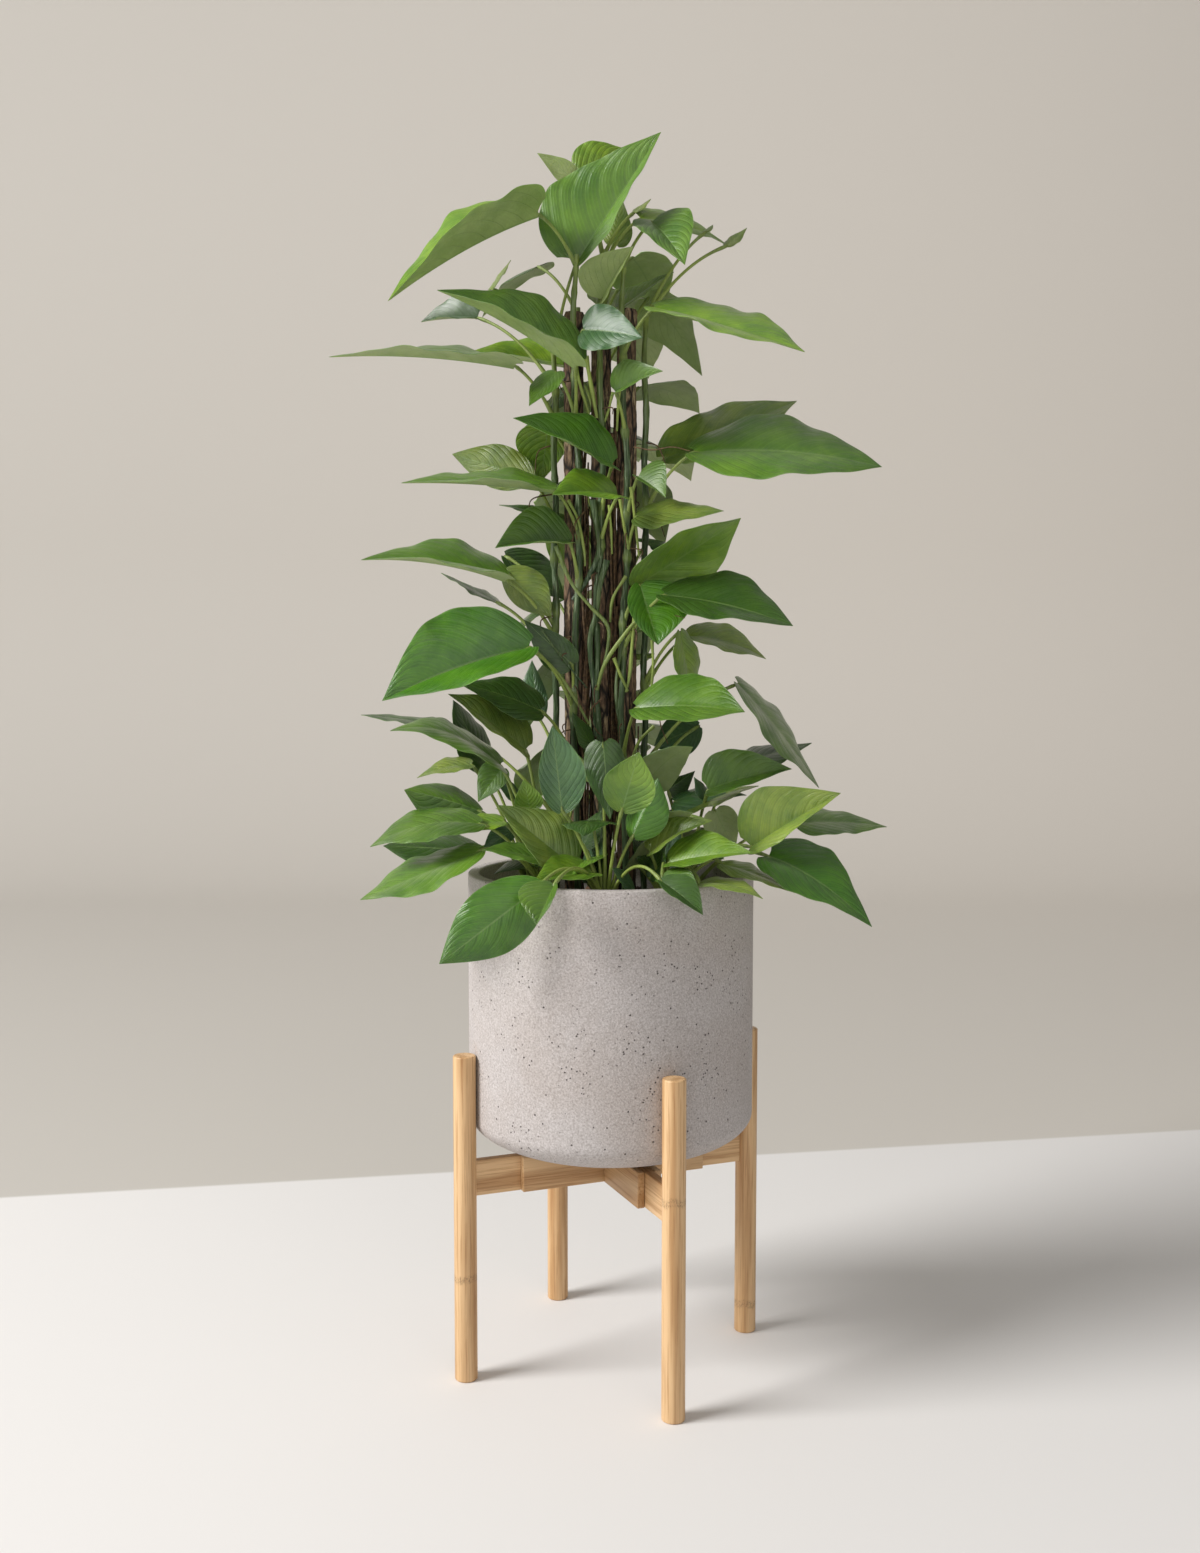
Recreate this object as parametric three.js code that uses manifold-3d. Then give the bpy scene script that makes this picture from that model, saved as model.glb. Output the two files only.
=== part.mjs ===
// Jade pothos climbing three bark stakes, in a concrete planter on a bamboo stand.
// Millimetres, +Z up, origin on the floor under the middle of the stand, seen from -Y.
import * as THREE from "three";
import { mergeVertices } from "three/addons/utils/BufferGeometryUtils.js";
import Module from "manifold-3d";

// Fit between pieces that touch, and the shortest edge worth keeping where leaves join a stem
const CLEARANCE = 0.3;
const SMALLEST_EDGE = 0.05;

// Bamboo stand
const LEG_DIAMETER = 24;
const LEG_HEIGHT = 348;
const LEG_CIRCLE = 165;
const LEG_ANGLES = { front_right: -68, back_right: 22, back_left: 112, front_left: 202 };
const LEG_EDGE = 2;
const MORTISE_DEPTH = 8;
const BAR_BOTTOM = 198;
const BAR_HEIGHT = 37.5;
const ARM_THICKNESS = 10;
const ARM_INNER_END = 45;
const PLATE_THICKNESS = 8;
const PLATE_HALF_LENGTH = 105;

// Concrete planter
const POT_DIAMETER = 305;
const POT_HEIGHT = 298;
const POT_WALL = 12;
const POT_ROUNDING = { across: 104, up: 40 };
const RIM_EDGE = 1.5;
const POT_SIDES = 40;
const SOIL_BELOW_RIM = 38;
const SOIL_CROWN = 5;

// Bark stakes
const STAKES = {
  left: { x: -39, top: 1121 },
  middle: { x: -10.5, top: 1116 },
  right: { x: 16.5, top: 1124 },
};
const STAKE_RADIUS = 10.2;
const BARK_RELIEF = 1.2;
const BARK_RIDGES = [3, 5];
const BARK_TWIST = [0.031, -0.047];
const STAKE_FOOT = 300;

// Climbing stems round the stakes: where each leaves the soil, and how high it climbs
const POLE_X = -11;
const STEM_RADIUS = 4;
const STEM_ROOT_DEPTH = 45;
const STEM_WANDER = 3.5;
const STEM_STEP = 80;
const STEMS = {
  front_left: { x: -36, y: -18.5, top: 1176 },
  front: { x: -12, y: -19, top: 1120 },
  front_right: { x: 14, y: -18.5, top: 1168 },
  right: { x: 36, y: 1, top: 1120 },
  back_right: { x: 12, y: 18.5, top: 1085 },
  back: { x: -12, y: 19, top: 1190 },
  back_left: { x: -36, y: 18.5, top: 1130 },
  left: { x: -59, y: -1, top: 1090 },
};

// Young shoots that rise from the soil round the pole
const SHOOT_CIRCLE = 84;
const SHOOT_RADIUS = 4.5;
const SHOOT_HEIGHT = 16;
const SHOOT_ROOT_DEPTH = 28;
const SHOOT_ANGLES = {
  east: 8,
  north_east: 50,
  north: 92,
  north_west: 136,
  west: 178,
  south_west: 222,
  south: 266,
  south_east: 312,
};
const SHOOT_LEAF_TOP = 678;

// Leaves
const BLADE_THICKNESS = 0.8;
const HALF_WIDTH_SHARE = 0.36;
const HEART_SKEW = 0.55;
const FULL_SKEW = 0.8;
const LOBE_SHARE = 0.05;
const DROOP_SHARE = 0.0576;
const WAVE_SHARE = 0.02;
const PETIOLE_RADIUS = 2.1;
const PETIOLE_STEPS = 3;
const STALK_BEND_AT = 0.45;
const STALK_RISE_SHARE = 0.22;
const STALK_OVER_RIM = 45;
const BROAD_LEAF = 160;
const LEAF_CLEARANCE = 0.3;
const BROAD_GRID = { along: [0.05, 0.18, 0.36, 0.58, 0.8], across: [-1, -0.5, 0, 0.5, 1] };
const NARROW_GRID = { along: [0.06, 0.26, 0.52, 0.79], across: [-1, 0, 1] };

// Viewpoint that the leaf places below are given from: focal length and middle in picture units
const PICTURE = { focal: 1594, middle: [600, 776.5] };
const EYE = new THREE.Vector3(-11.5, -1697.3, 763.2);
const EYE_PITCH = THREE.MathUtils.degToRad(4.33);

// Each leaf: base and tip in picture units, depth of both (mm, minus is nearer), width of the upper
// and lower half as seen, and rise of the midrib (mm). lean says how the halves lie:
// "level" upper half away, "flat" facing, "folded" upper half nearer. A full leaf stays broad
// towards its tip. A half with a negative width is folded up behind the other.
const CROWN_LEAVES = [
  { base: [538, 214], tip: [388, 301], depth: [-15, -70], wide: [46, -14], rise: 8 },
  { base: [578, 184], tip: [537, 153], depth: [10, 0], wide: [11, 11], rise: 2, lean: "flat" },
  { base: [580, 177], tip: [635, 152], depth: [22, 40], wide: [28, 7], rise: 2, lean: "flat" },
  { base: [577, 262], tip: [661, 132], depth: [-2, -12], wide: [61, 14], rise: 0 },
  { base: [614, 244], tip: [622, 199], depth: [30, 42], wide: [13, 16], rise: 0, lean: "flat" },
  { base: [602, 300], tip: [634, 246], depth: [-12, -35], wide: [33, 5], rise: 2 },
  { base: [652, 222], tip: [685, 265], depth: [-12, -80], wide: [34, 20], rise: 4 },
  { base: [640, 219], tip: [730, 247], depth: [34, 62], wide: [19, 12], rise: 7 },
  { base: [634, 213], tip: [651, 199], depth: [40, 50], wide: [4, 4], rise: 0 },
  { base: [706, 232], tip: [713, 225], depth: [52, 62], wide: [3, 3], rise: 0 },
  { base: [727, 246], tip: [747, 228], depth: [20, 26], wide: [6, 6], rise: 0 },
  { base: [623, 307], tip: [674, 272], depth: [4, 22], wide: [15, 5], rise: 1 },
  { base: [654, 308], tip: [805, 352], depth: [-30, -90], wide: [33, 15], rise: 2, full: true },
];
const UPPER_LEAVES = [
  { base: [576, 367], tip: [437, 290], depth: [-24, -62], wide: [44, -4], rise: 6 },
  { base: [478, 318], tip: [421, 322], depth: [40, 70], wide: [24, 3], rise: 2 },
  { base: [492, 289], tip: [511, 260], depth: [30, 40], wide: [5, 4], rise: 0 },
  { base: [515, 366], tip: [329, 357], depth: [-12, -22], wide: [21, 3], rise: 6 },
  { base: [565, 366], tip: [462, 355], depth: [40, 62], wide: [30, 4], rise: 2 },
  { base: [556, 372], tip: [529, 406], depth: [-34, -60], wide: [14, 12], rise: 0 },
  { base: [566, 392], tip: [549, 413], depth: [40, 50], wide: [8, 8], rise: 0 },
  { base: [583, 330], tip: [643, 338], depth: [-38, -78], wide: [27, 22], rise: 2 },
  { base: [616, 393], tip: [663, 371], depth: [-32, -72], wide: [24, 4], rise: 3 },
  { base: [612, 466], tip: [513, 418], depth: [-42, -92], wide: [34, 5], rise: 3 },
  { base: [548, 428], tip: [541, 482], depth: [24, 44], wide: [30, 20], rise: 0, lean: "flat" },
  { base: [530, 478], tip: [452, 454], depth: [30, 60], wide: [24, 20], rise: 0, lean: "flat", full: true },
  { base: [556, 491], tip: [401, 483], depth: [-20, -60], wide: [20, 2], rise: 4 },
  { base: [618, 496], tip: [552, 495], depth: [-46, -112], wide: [26, 8], rise: 4 },
  { base: [694, 452], tip: [882, 467], depth: [-18, -50], wide: [42, 32], rise: 8, full: true },
  { base: [666, 458], tip: [797, 401], depth: [14, 42], wide: [34, 22], rise: 0, full: true },
  { base: [638, 477], tip: [666, 498], depth: [-24, -52], wide: [26, 4], rise: 2 },
];
const MIDDLE_LEAVES = [
  { base: [637, 516], tip: [724, 511], depth: [-6, -30], wide: [14, 15], rise: 2 },
  { base: [637, 585], tip: [741, 518], depth: [-12, -40], wide: [20, 34], rise: 0, lean: "folded", full: true },
  { base: [664, 595], tip: [793, 626], depth: [-48, -92], wide: [34, 17], rise: 5, full: true },
  { base: [640, 585], tip: [658, 645], depth: [-58, -84], wide: [46, 18], rise: 0, full: true },
  { base: [688, 636], tip: [766, 659], depth: [22, 32], wide: [18, 9], rise: 6, full: true },
  { base: [680, 632], tip: [694, 705], depth: [2, 12], wide: [15, 12], rise: 0, full: true },
  { base: [636, 708], tip: [745, 712], depth: [-62, -112], wide: [33, 15], rise: 4, full: true },
  { base: [738, 684], tip: [819, 788], depth: [20, 42], wide: [14, 15], rise: 6, full: true },
  { base: [699, 726], tip: [654, 746], depth: [34, 54], wide: [20, 22], rise: 0, lean: "flat", full: true },
  { base: [708, 790], tip: [792, 769], depth: [-32, -44], wide: [33, 6], rise: 3 },
  { base: [735, 764], tip: [812, 743], depth: [26, 46], wide: [9, 10], rise: 0 },
  { base: [570, 543], tip: [495, 548], depth: [-34, -72], wide: [36, 2], rise: 3, full: true },
  { base: [562, 522], tip: [499, 505], depth: [12, 20], wide: [9, 4], rise: 2 },
  { base: [506, 580], tip: [361, 560], depth: [-24, -60], wide: [27, 0], rise: 8 },
  { base: [506, 572], tip: [552, 617], depth: [-6, -16], wide: [23, 17], rise: 0, lean: "flat", full: true },
  { base: [505, 556], tip: [566, 600], depth: [18, 28], wide: [23, 12], rise: 0, lean: "flat", full: true },
  { base: [496, 602], tip: [441, 573], depth: [22, 40], wide: [4, 3], rise: 0 },
  { base: [530, 647], tip: [382, 701], depth: [-62, -104], wide: [58, 20], rise: 6, full: true },
  { base: [572, 664], tip: [524, 620], depth: [-8, -18], wide: [15, 20], rise: 0, lean: "flat" },
  { base: [537, 716], tip: [532, 660], depth: [4, 12], wide: [12, 18], rise: 0, lean: "flat" },
  { base: [526, 750], tip: [448, 694], depth: [-52, -82], wide: [24, 5], rise: 3 },
  { base: [541, 711], tip: [460, 684], depth: [-22, -36], wide: [20, 15], rise: 3 },
  { base: [445, 728], tip: [361, 715], depth: [14, 26], wide: [4, 3], rise: 2 },
  { base: [501, 766], tip: [390, 731], depth: [-56, -92], wide: [10, 9], rise: 17 },
  { base: [488, 772], tip: [453, 700], depth: [-4, -14], wide: [12, 16], rise: 0, full: true },
];
const LOWER_LEAVES = [
  { base: [502, 768], tip: [478, 802], depth: [-40, -52], wide: [18, 12], rise: 0 },
  { base: [472, 765], tip: [417, 778], depth: [0, -10], wide: [9, 5], rise: 4 },
  { base: [480, 811], tip: [404, 790], depth: [-24, -44], wide: [12, 30], rise: 2, full: true },
  { base: [480, 824], tip: [370, 847], depth: [-48, -66], wide: [14, 13], rise: 11, full: true },
  { base: [504, 822], tip: [452, 833], depth: [-72, -84], wide: [9, 5], rise: 3 },
  { base: [478, 850], tip: [383, 846], depth: [-30, -42], wide: [12, 19], rise: 0, full: true },
  { base: [479, 851], tip: [360, 900], depth: [-66, -86], wide: [15, 14], rise: 0, full: true },
  { base: [539, 887], tip: [439, 964], depth: [-160, -190], wide: [35, 35], rise: 0, lean: "flat", full: true },
  { base: [554, 885], tip: [536, 925], depth: [-174, -200], wide: [30, 5], rise: 0, full: true },
  { base: [592, 873], tip: [534, 882], depth: [-100, -150], wide: [21, 4], rise: 2 },
  { base: [571, 864], tip: [497, 805], depth: [-92, -112], wide: [33, 16], rise: 0 },
  { base: [546, 862], tip: [482, 850], depth: [-76, -94], wide: [10, 4], rise: 3 },
  { base: [517, 827], tip: [483, 850], depth: [-84, -92], wide: [13, 9], rise: 0, lean: "flat", full: true },
  { base: [562, 810], tip: [552, 726], depth: [-112, -132], wide: [28, 19], rise: 0, lean: "flat", full: true },
  { base: [603, 742], tip: [610, 820], depth: [-96, -112], wide: [20, 21], rise: 0, lean: "flat" },
  { base: [622, 810], tip: [639, 752], depth: [-120, -146], wide: [26, 27], rise: 0, lean: "flat", full: true },
  { base: [633, 836], tip: [658, 778], depth: [-108, -100], wide: [13, 27], rise: 0, full: true },
  { base: [678, 814], tip: [759, 786], depth: [-44, -34], wide: [8, 4], rise: 4 },
  { base: [751, 847], tip: [841, 793], depth: [-62, -84], wide: [44, 6], rise: 2 },
  { base: [797, 823], tip: [887, 827], depth: [-8, 14], wide: [12, 10], rise: 3 },
  { base: [768, 856], tip: [872, 927], depth: [-72, -112], wide: [33, 21], rise: 9 },
  { base: [722, 864], tip: [795, 893], depth: [-92, -112], wide: [5, 6], rise: 3 },
  { base: [700, 884], tip: [763, 899], depth: [-112, -146], wide: [6, 4], rise: 6 },
  { base: [669, 863], tip: [753, 853], depth: [-112, -142], wide: [23, 3], rise: 3 },
  { base: [650, 853], tip: [713, 821], depth: [-92, -104], wide: [21, 1], rise: 6 },
  { base: [662, 878], tip: [700, 891], depth: [-122, -152], wide: [14, 6], rise: 3 },
  { base: [661, 881], tip: [703, 915], depth: [-158, -180], wide: [20, 5], rise: 2, full: true },
  { base: [715, 810], tip: [735, 852], depth: [-30, -22], wide: [18, 18], rise: 0 },
  { base: [588, 884], tip: [605, 836], depth: [-62, -72], wide: [13, 11], rise: 0 },
  { base: [584, 845], tip: [602, 810], depth: [-50, -58], wide: [11, 11], rise: 0 },
  { base: [530, 810], tip: [524, 779], depth: [-74, -84], wide: [15, 14], rise: 0, lean: "flat" },
  { base: [668, 790], tip: [695, 771], depth: [10, 22], wide: [6, 14], rise: 0 },
  { base: [634, 890], tip: [612, 868], depth: [-96, -112], wide: [5, 7], rise: 2 },
  { base: [648, 862], tip: [632, 838], depth: [-58, -66], wide: [6, 8], rise: 0 },
  { base: [650, 878], tip: [664, 846], depth: [-74, -82], wide: [8, 7], rise: 0 },
  { base: [668, 858], tip: [681, 830], depth: [-52, -56], wide: [5, 8], rise: 0 },
  { base: [706, 797], tip: [694, 777], depth: [-16, -20], wide: [5, 7], rise: 0 },
  { base: [592, 746], tip: [572, 712], depth: [-34, -44], wide: [7, 9], rise: 0 },
];
const LEANS = { level: [1, -1], flat: [0, 0], folded: [-1, 1] };

// Leaves round the back and sides, drawn by a seeded rule between these limits
const HIDDEN_COUNT = 33;
const HIDDEN_TRIES = 14;
const HIDDEN_SEED = 20;
const HIDDEN_BOTTOM = 560;
const HIDDEN_TOP = 1215;
const HIDDEN_FAN = 66;
const HIDDEN_BASE_REACH = [50, 95];
const HIDDEN_REACH = 202;
const HIDDEN_LENGTH = [92, 158];
const HIDDEN_RISE_SHARE = 0.1;
const GOLDEN_ANGLE = 137.508;
const HINDMOST_LEAF = { azimuth: 92, height: 905, reach: 80, length: 124, fall: 30, roll: 0.1, phase: 0 };

// Ways to bend a leaf clear of its neighbours: shift in depth and sideways bow of its stalk (mm)
const DEPTH_SHIFTS = [0, -14, 14, -28, 28, -44, 44];
const STALK_BOWS = [0, 14, -14, 28, -28];

const COLOURS = {
  bamboo: 0xc99b63,
  bamboo_edge: 0xa87544,
  concrete: 0xaaa29b,
  soil: 0x2b2320,
  bark: 0x5a4534,
  foliage: 0x4f8434,
  young: 0x5f9440,
};

const wasm = await Module();
wasm.setup();

const UP = new THREE.Vector3(0, 0, 1);
const part = new THREE.Group();

// A closed solid of a three.js geometry, for joining and cutting.
function solidOf(geometry) {
  const bare = new THREE.BufferGeometry().setAttribute("position", geometry.getAttribute("position"));
  bare.setIndex(geometry.index);
  const merged = mergeVertices(bare, 1e-4);
  const vertProperties = merged.attributes.position.array;
  const build = (triVerts) =>
    new wasm.Manifold(new wasm.Mesh({ numProp: 3, vertProperties, triVerts }));
  const solid = build(new Uint32Array(merged.index.array));
  return solid.volume() > 0 ? solid : build(new Uint32Array(merged.index.array).reverse());
}

function geometryOf(solid) {
  const { numProp, vertProperties, triVerts } = solid.getMesh();
  const corners = new Float32Array((vertProperties.length / numProp) * 3);
  for (let i = 0; i < corners.length / 3; i++) {
    corners.set(vertProperties.subarray(i * numProp, i * numProp + 3), i * 3);
  }
  const geometry = new THREE.BufferGeometry();
  geometry.setAttribute("position", new THREE.BufferAttribute(corners, 3));
  geometry.setIndex(new THREE.BufferAttribute(triVerts, 1));
  geometry.computeVertexNormals();
  return geometry;
}

function addMesh(name, solid, color, roughness) {
  const material = new THREE.MeshStandardMaterial({ color, roughness, metalness: 0 });
  const mesh = new THREE.Mesh(geometryOf(solid), material);
  mesh.name = name;
  part.add(mesh);
  return mesh;
}

function boxBetween(low, high) {
  const size = high.map((value, axis) => value - low[axis]);
  const box = new THREE.BoxGeometry(...size);
  return box.translate(...low.map((value, axis) => value + size[axis] / 2));
}

function turned(geometry, degrees) {
  return geometry.rotateZ(THREE.MathUtils.degToRad(degrees));
}

// A solid of revolution round +Z from [radius, height] points that start and end on the axis.
function lathe(profile, segments) {
  const points = profile.map(([radius, height]) => new THREE.Vector2(radius, height));
  return new THREE.LatheGeometry(points, segments).rotateX(Math.PI / 2);
}

// A quarter of an ellipse from straight down to straight out.
function quarterPoints([radius, height], [across, up], steps) {
  return Array.from({ length: steps + 1 }, (_, i) => {
    const angle = -Math.PI / 2 + (i / steps) * (Math.PI / 2);
    return [radius + across * Math.cos(angle), height + up * Math.sin(angle)];
  });
}

function tube(curve, radius, sides, steps) {
  const corners = Array.from({ length: sides }, (_, i) => {
    const angle = (i / sides) * 2 * Math.PI;
    return new THREE.Vector2(radius * Math.cos(angle), radius * Math.sin(angle));
  });
  const settings = { steps, extrudePath: curve, bevelEnabled: false };
  return solidOf(new THREE.ExtrudeGeometry(new THREE.Shape(corners), settings));
}

function post(x, y, bottom, top, radius, sides) {
  const ends = [new THREE.Vector3(x, y, bottom), new THREE.Vector3(x, y, top)];
  return tube(new THREE.LineCurve3(...ends), radius, sides, 1);
}

// A plain hole for a round piece: its flats clear the piece all round.
function hole(x, y, bottom, radius, sides) {
  return post(x, y, bottom - CLEARANCE, rimHeight, (radius + CLEARANCE) / Math.cos(Math.PI / sides), sides);
}

// Stand: four round legs, each with its sliding arm, and two crossed pairs of plates
function makeLeg(name, degrees) {
  const radius = LEG_DIAMETER / 2;
  const profile = [
    [0, 0],
    [radius - LEG_EDGE, 0],
    [radius, LEG_EDGE],
    [radius, LEG_HEIGHT - LEG_EDGE],
    [radius - LEG_EDGE, LEG_HEIGHT],
    [0, LEG_HEIGHT],
  ];
  const round = solidOf(lathe(profile, 16).translate(LEG_CIRCLE, 0, 0));
  const mortise = boxBetween(
    [LEG_CIRCLE - radius - 1, -ARM_THICKNESS / 2 - CLEARANCE, BAR_BOTTOM - CLEARANCE],
    [
      LEG_CIRCLE - radius + MORTISE_DEPTH + CLEARANCE,
      ARM_THICKNESS / 2 + CLEARANCE,
      BAR_BOTTOM + BAR_HEIGHT + CLEARANCE,
    ],
  );
  const leg = geometryOf(round.subtract(solidOf(mortise)));
  addMesh(`leg_${name}`, solidOf(turned(leg, degrees)), COLOURS.bamboo, 0.5);
}

function makeArm(name, degrees) {
  const outerEnd = LEG_CIRCLE - LEG_DIAMETER / 2 + MORTISE_DEPTH;
  const board = boxBetween(
    [ARM_INNER_END, -ARM_THICKNESS / 2, BAR_BOTTOM],
    [outerEnd, ARM_THICKNESS / 2, BAR_BOTTOM + BAR_HEIGHT],
  );
  addMesh(`arm_${name}`, solidOf(turned(board, degrees)), COLOURS.bamboo, 0.5);
}

// A plate on edge beside the arms, halved from above or below where the other pair crosses it.
function makePlate(name, degrees, side, halvedFromAbove) {
  const near = ARM_THICKNESS / 2 + CLEARANCE;
  const far = near + PLATE_THICKNESS;
  const middle = BAR_HEIGHT / 2;
  const shape = new THREE.Shape();
  const notches = [
    [-far - CLEARANCE, -near + CLEARANCE],
    [near - CLEARANCE, far + CLEARANCE],
  ];
  shape.moveTo(-PLATE_HALF_LENGTH, 0);
  for (const [start, end] of halvedFromAbove ? [] : notches) {
    shape.lineTo(start, 0);
    shape.lineTo(start, middle + CLEARANCE / 2);
    shape.lineTo(end, middle + CLEARANCE / 2);
    shape.lineTo(end, 0);
  }
  shape.lineTo(PLATE_HALF_LENGTH, 0);
  shape.lineTo(PLATE_HALF_LENGTH, BAR_HEIGHT);
  for (const [start, end] of halvedFromAbove ? notches.toReversed() : []) {
    shape.lineTo(end, BAR_HEIGHT);
    shape.lineTo(end, middle - CLEARANCE / 2);
    shape.lineTo(start, middle - CLEARANCE / 2);
    shape.lineTo(start, BAR_HEIGHT);
  }
  shape.lineTo(-PLATE_HALF_LENGTH, BAR_HEIGHT);
  const plate = new THREE.ExtrudeGeometry(shape, { depth: PLATE_THICKNESS, bevelEnabled: false });
  plate.rotateX(Math.PI / 2).translate(0, side > 0 ? far : -near, BAR_BOTTOM);
  addMesh(name, solidOf(turned(plate, degrees)), COLOURS.bamboo_edge, 0.55);
}

function makeStand() {
  for (const [name, degrees] of Object.entries(LEG_ANGLES)) {
    makeLeg(name, degrees);
    makeArm(name, degrees);
  }
  makePlate("plate_wide_back", LEG_ANGLES.back_right, 1, true);
  makePlate("plate_wide_front", LEG_ANGLES.back_right, -1, true);
  makePlate("plate_deep_left", LEG_ANGLES.back_left, 1, false);
  makePlate("plate_deep_right", LEG_ANGLES.back_left, -1, false);
  const half = ARM_THICKNESS / 2;
  const core = boxBetween([-half, -half, BAR_BOTTOM], [half, half, BAR_BOTTOM + BAR_HEIGHT]);
  addMesh("crossing_block", solidOf(turned(core, LEG_ANGLES.back_right)), COLOURS.bamboo, 0.5);
}

// Planter and soil, both from the same rounded profile
const potRadius = POT_DIAMETER / 2;
const potBottom = BAR_BOTTOM + BAR_HEIGHT + CLEARANCE;
const rimHeight = potBottom + POT_HEIGHT;
const soilRadius = potRadius - POT_WALL - CLEARANCE;
const soilTop = rimHeight - SOIL_BELOW_RIM;

function roundedSide(inset, steps) {
  const { across, up } = POT_ROUNDING;
  return quarterPoints([potRadius - across, potBottom + up], [across - inset, up - inset], steps);
}

function potSolid(grow) {
  const outer = potRadius + grow;
  const inner = potRadius - POT_WALL - grow;
  const top = rimHeight + grow;
  const profile = [
    [0, potBottom - grow],
    ...roundedSide(-grow, 4),
    [outer, top - RIM_EDGE],
    [outer - RIM_EDGE, top],
    [inner + RIM_EDGE, top],
    [inner, top - RIM_EDGE],
    ...roundedSide(POT_WALL + grow, 3).reverse(),
    [0, potBottom + POT_WALL + grow],
  ];
  return solidOf(lathe(profile, POT_SIDES));
}

function soilSolid() {
  const profile = [
    [0, potBottom + POT_WALL + CLEARANCE],
    ...roundedSide(POT_WALL + CLEARANCE, 3),
    [soilRadius, soilTop - 2],
    [0, soilTop + SOIL_CROWN],
  ];
  return solidOf(lathe(profile, POT_SIDES));
}

// A stake with rough bark: its radius wavers round and along it.
function stakeSolid({ x, top }, sides = 8, steps = 11) {
  const round = solidOf(new THREE.CylinderGeometry(STAKE_RADIUS, STAKE_RADIUS, 1, sides, steps));
  const geometry = geometryOf(round).rotateX(Math.PI / 2).translate(0, 0, 0.5);
  const corner = geometry.getAttribute("position");
  for (let i = 0; i < corner.count; i++) {
    const height = STAKE_FOOT + corner.getZ(i) * (top - STAKE_FOOT);
    const angle = Math.atan2(corner.getY(i), corner.getX(i));
    const [broad, fine] = BARK_RIDGES.map((ridges, k) =>
      Math.sin(ridges * angle + height * BARK_TWIST[k] + x),
    );
    const size = 1 + (BARK_RELIEF * (broad + fine) * 0.5) / STAKE_RADIUS;
    corner.setXYZ(i, x + corner.getX(i) * size, corner.getY(i) * size, height);
  }
  return solidOf(geometry);
}

// A point of the picture, brought to the depth y.
function seen([u, v], y) {
  const across = (u - PICTURE.middle[0]) / PICTURE.focal;
  const up = (PICTURE.middle[1] - v) / PICTURE.focal;
  const cos = Math.cos(EYE_PITCH);
  const sin = Math.sin(EYE_PITCH);
  const ray = new THREE.Vector3(across, cos + up * sin, up * cos - sin);
  return EYE.clone().addScaledVector(ray, (y - EYE.y) / ray.y);
}

// A leaf as placed: base, tip, top of the midrib's arch, and a vector for each half of the blade.
function leafFrom(base, tip, rise, halves, phase, skew = HEART_SKEW) {
  const along = tip.clone().sub(base);
  const length = along.length();
  along.normalize();
  const arch = base.clone().lerp(tip, 0.5).addScaledVector(UP, 2 * rise);
  const [upper, lower] = halves;
  const face = along.clone().cross(upper.clone().sub(lower)).normalize();
  if (face.z < 0) face.negate();
  return { base, tip, arch, along, length, upper, lower, face, phase, skew };
}

function seenLeaf(row, index, shift) {
  const base = seen(row.base, row.depth[0] + shift);
  const tip = seen(row.tip, row.depth[1] + shift);
  const along = tip.clone().sub(base).normalize();
  const sideways = new THREE.Vector3(row.tip[1] - row.base[1], 0, row.tip[0] - row.base[0]);
  sideways.normalize();
  if (sideways.z < 0) sideways.negate();
  const away = along.clone().cross(sideways).normalize();
  if (away.y < 0) away.negate();
  const unit = (base.y - EYE.y) / PICTURE.focal;
  const halfWidth = HALF_WIDTH_SHARE * base.distanceTo(tip);
  const leans = LEANS[row.lean ?? "level"];
  const halves = row.wide.map((wide, i) => {
    const shown = wide * unit;
    const hidden = leans[i] * Math.sqrt(Math.max(halfWidth ** 2 - shown ** 2, 0));
    return new THREE.Vector3()
      .addScaledVector(sideways, i === 0 ? shown : -shown)
      .addScaledVector(away, hidden);
  });
  const skew = row.full ? FULL_SKEW : HEART_SKEW;
  const leaf = leafFrom(base, tip, row.rise, halves, (index * 0.37) % 1, skew);
  const droop = DROOP_SHARE * leaf.length * leaf.face.dot(sideways);
  for (const half of halves) half.addScaledVector(sideways, droop);
  return leaf;
}

// Half-width of the heart-shaped blade along it, from 0 at the base to 0 at the drawn-out tip:
// the lower the skew, the nearer its broadest part lies to the base.
function outline(s, skew) {
  const way = Math.min(Math.max(s, 0), 1) ** skew;
  const swell = Math.max(Math.sin(Math.PI * way), 0);
  return way < 0.5 ? swell ** 0.6 : swell;
}

// A point of the blade: s runs from base to tip, t across from -1 (upper half) to 1 (lower half).
function bladePoint(leaf, s, t, grow = 0) {
  const point = leaf.base.clone().multiplyScalar((1 - s) ** 2);
  point.addScaledVector(leaf.arch, 2 * s * (1 - s));
  point.addScaledVector(leaf.tip, s * s);
  const half = t < 0 ? leaf.upper : leaf.lower;
  const reach = Math.abs(t);
  const swell = outline(s, leaf.skew);
  const width = swell * (1 + grow / half.length());
  const lobe = LOBE_SHARE * leaf.length * reach ** 1.6 * Math.max(0, 1 - s / 0.3) ** 2;
  const wave = Math.sin(2 * Math.PI * (1.6 * s + leaf.phase + 0.3 * Math.sign(t)));
  const lift = leaf.length * swell * reach ** 2 * (WAVE_SHARE * wave - DROOP_SHARE);
  point.addScaledVector(half, reach * width);
  point.addScaledVector(leaf.along, -lobe);
  point.addScaledVector(leaf.face, lift);
  return point;
}

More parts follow.
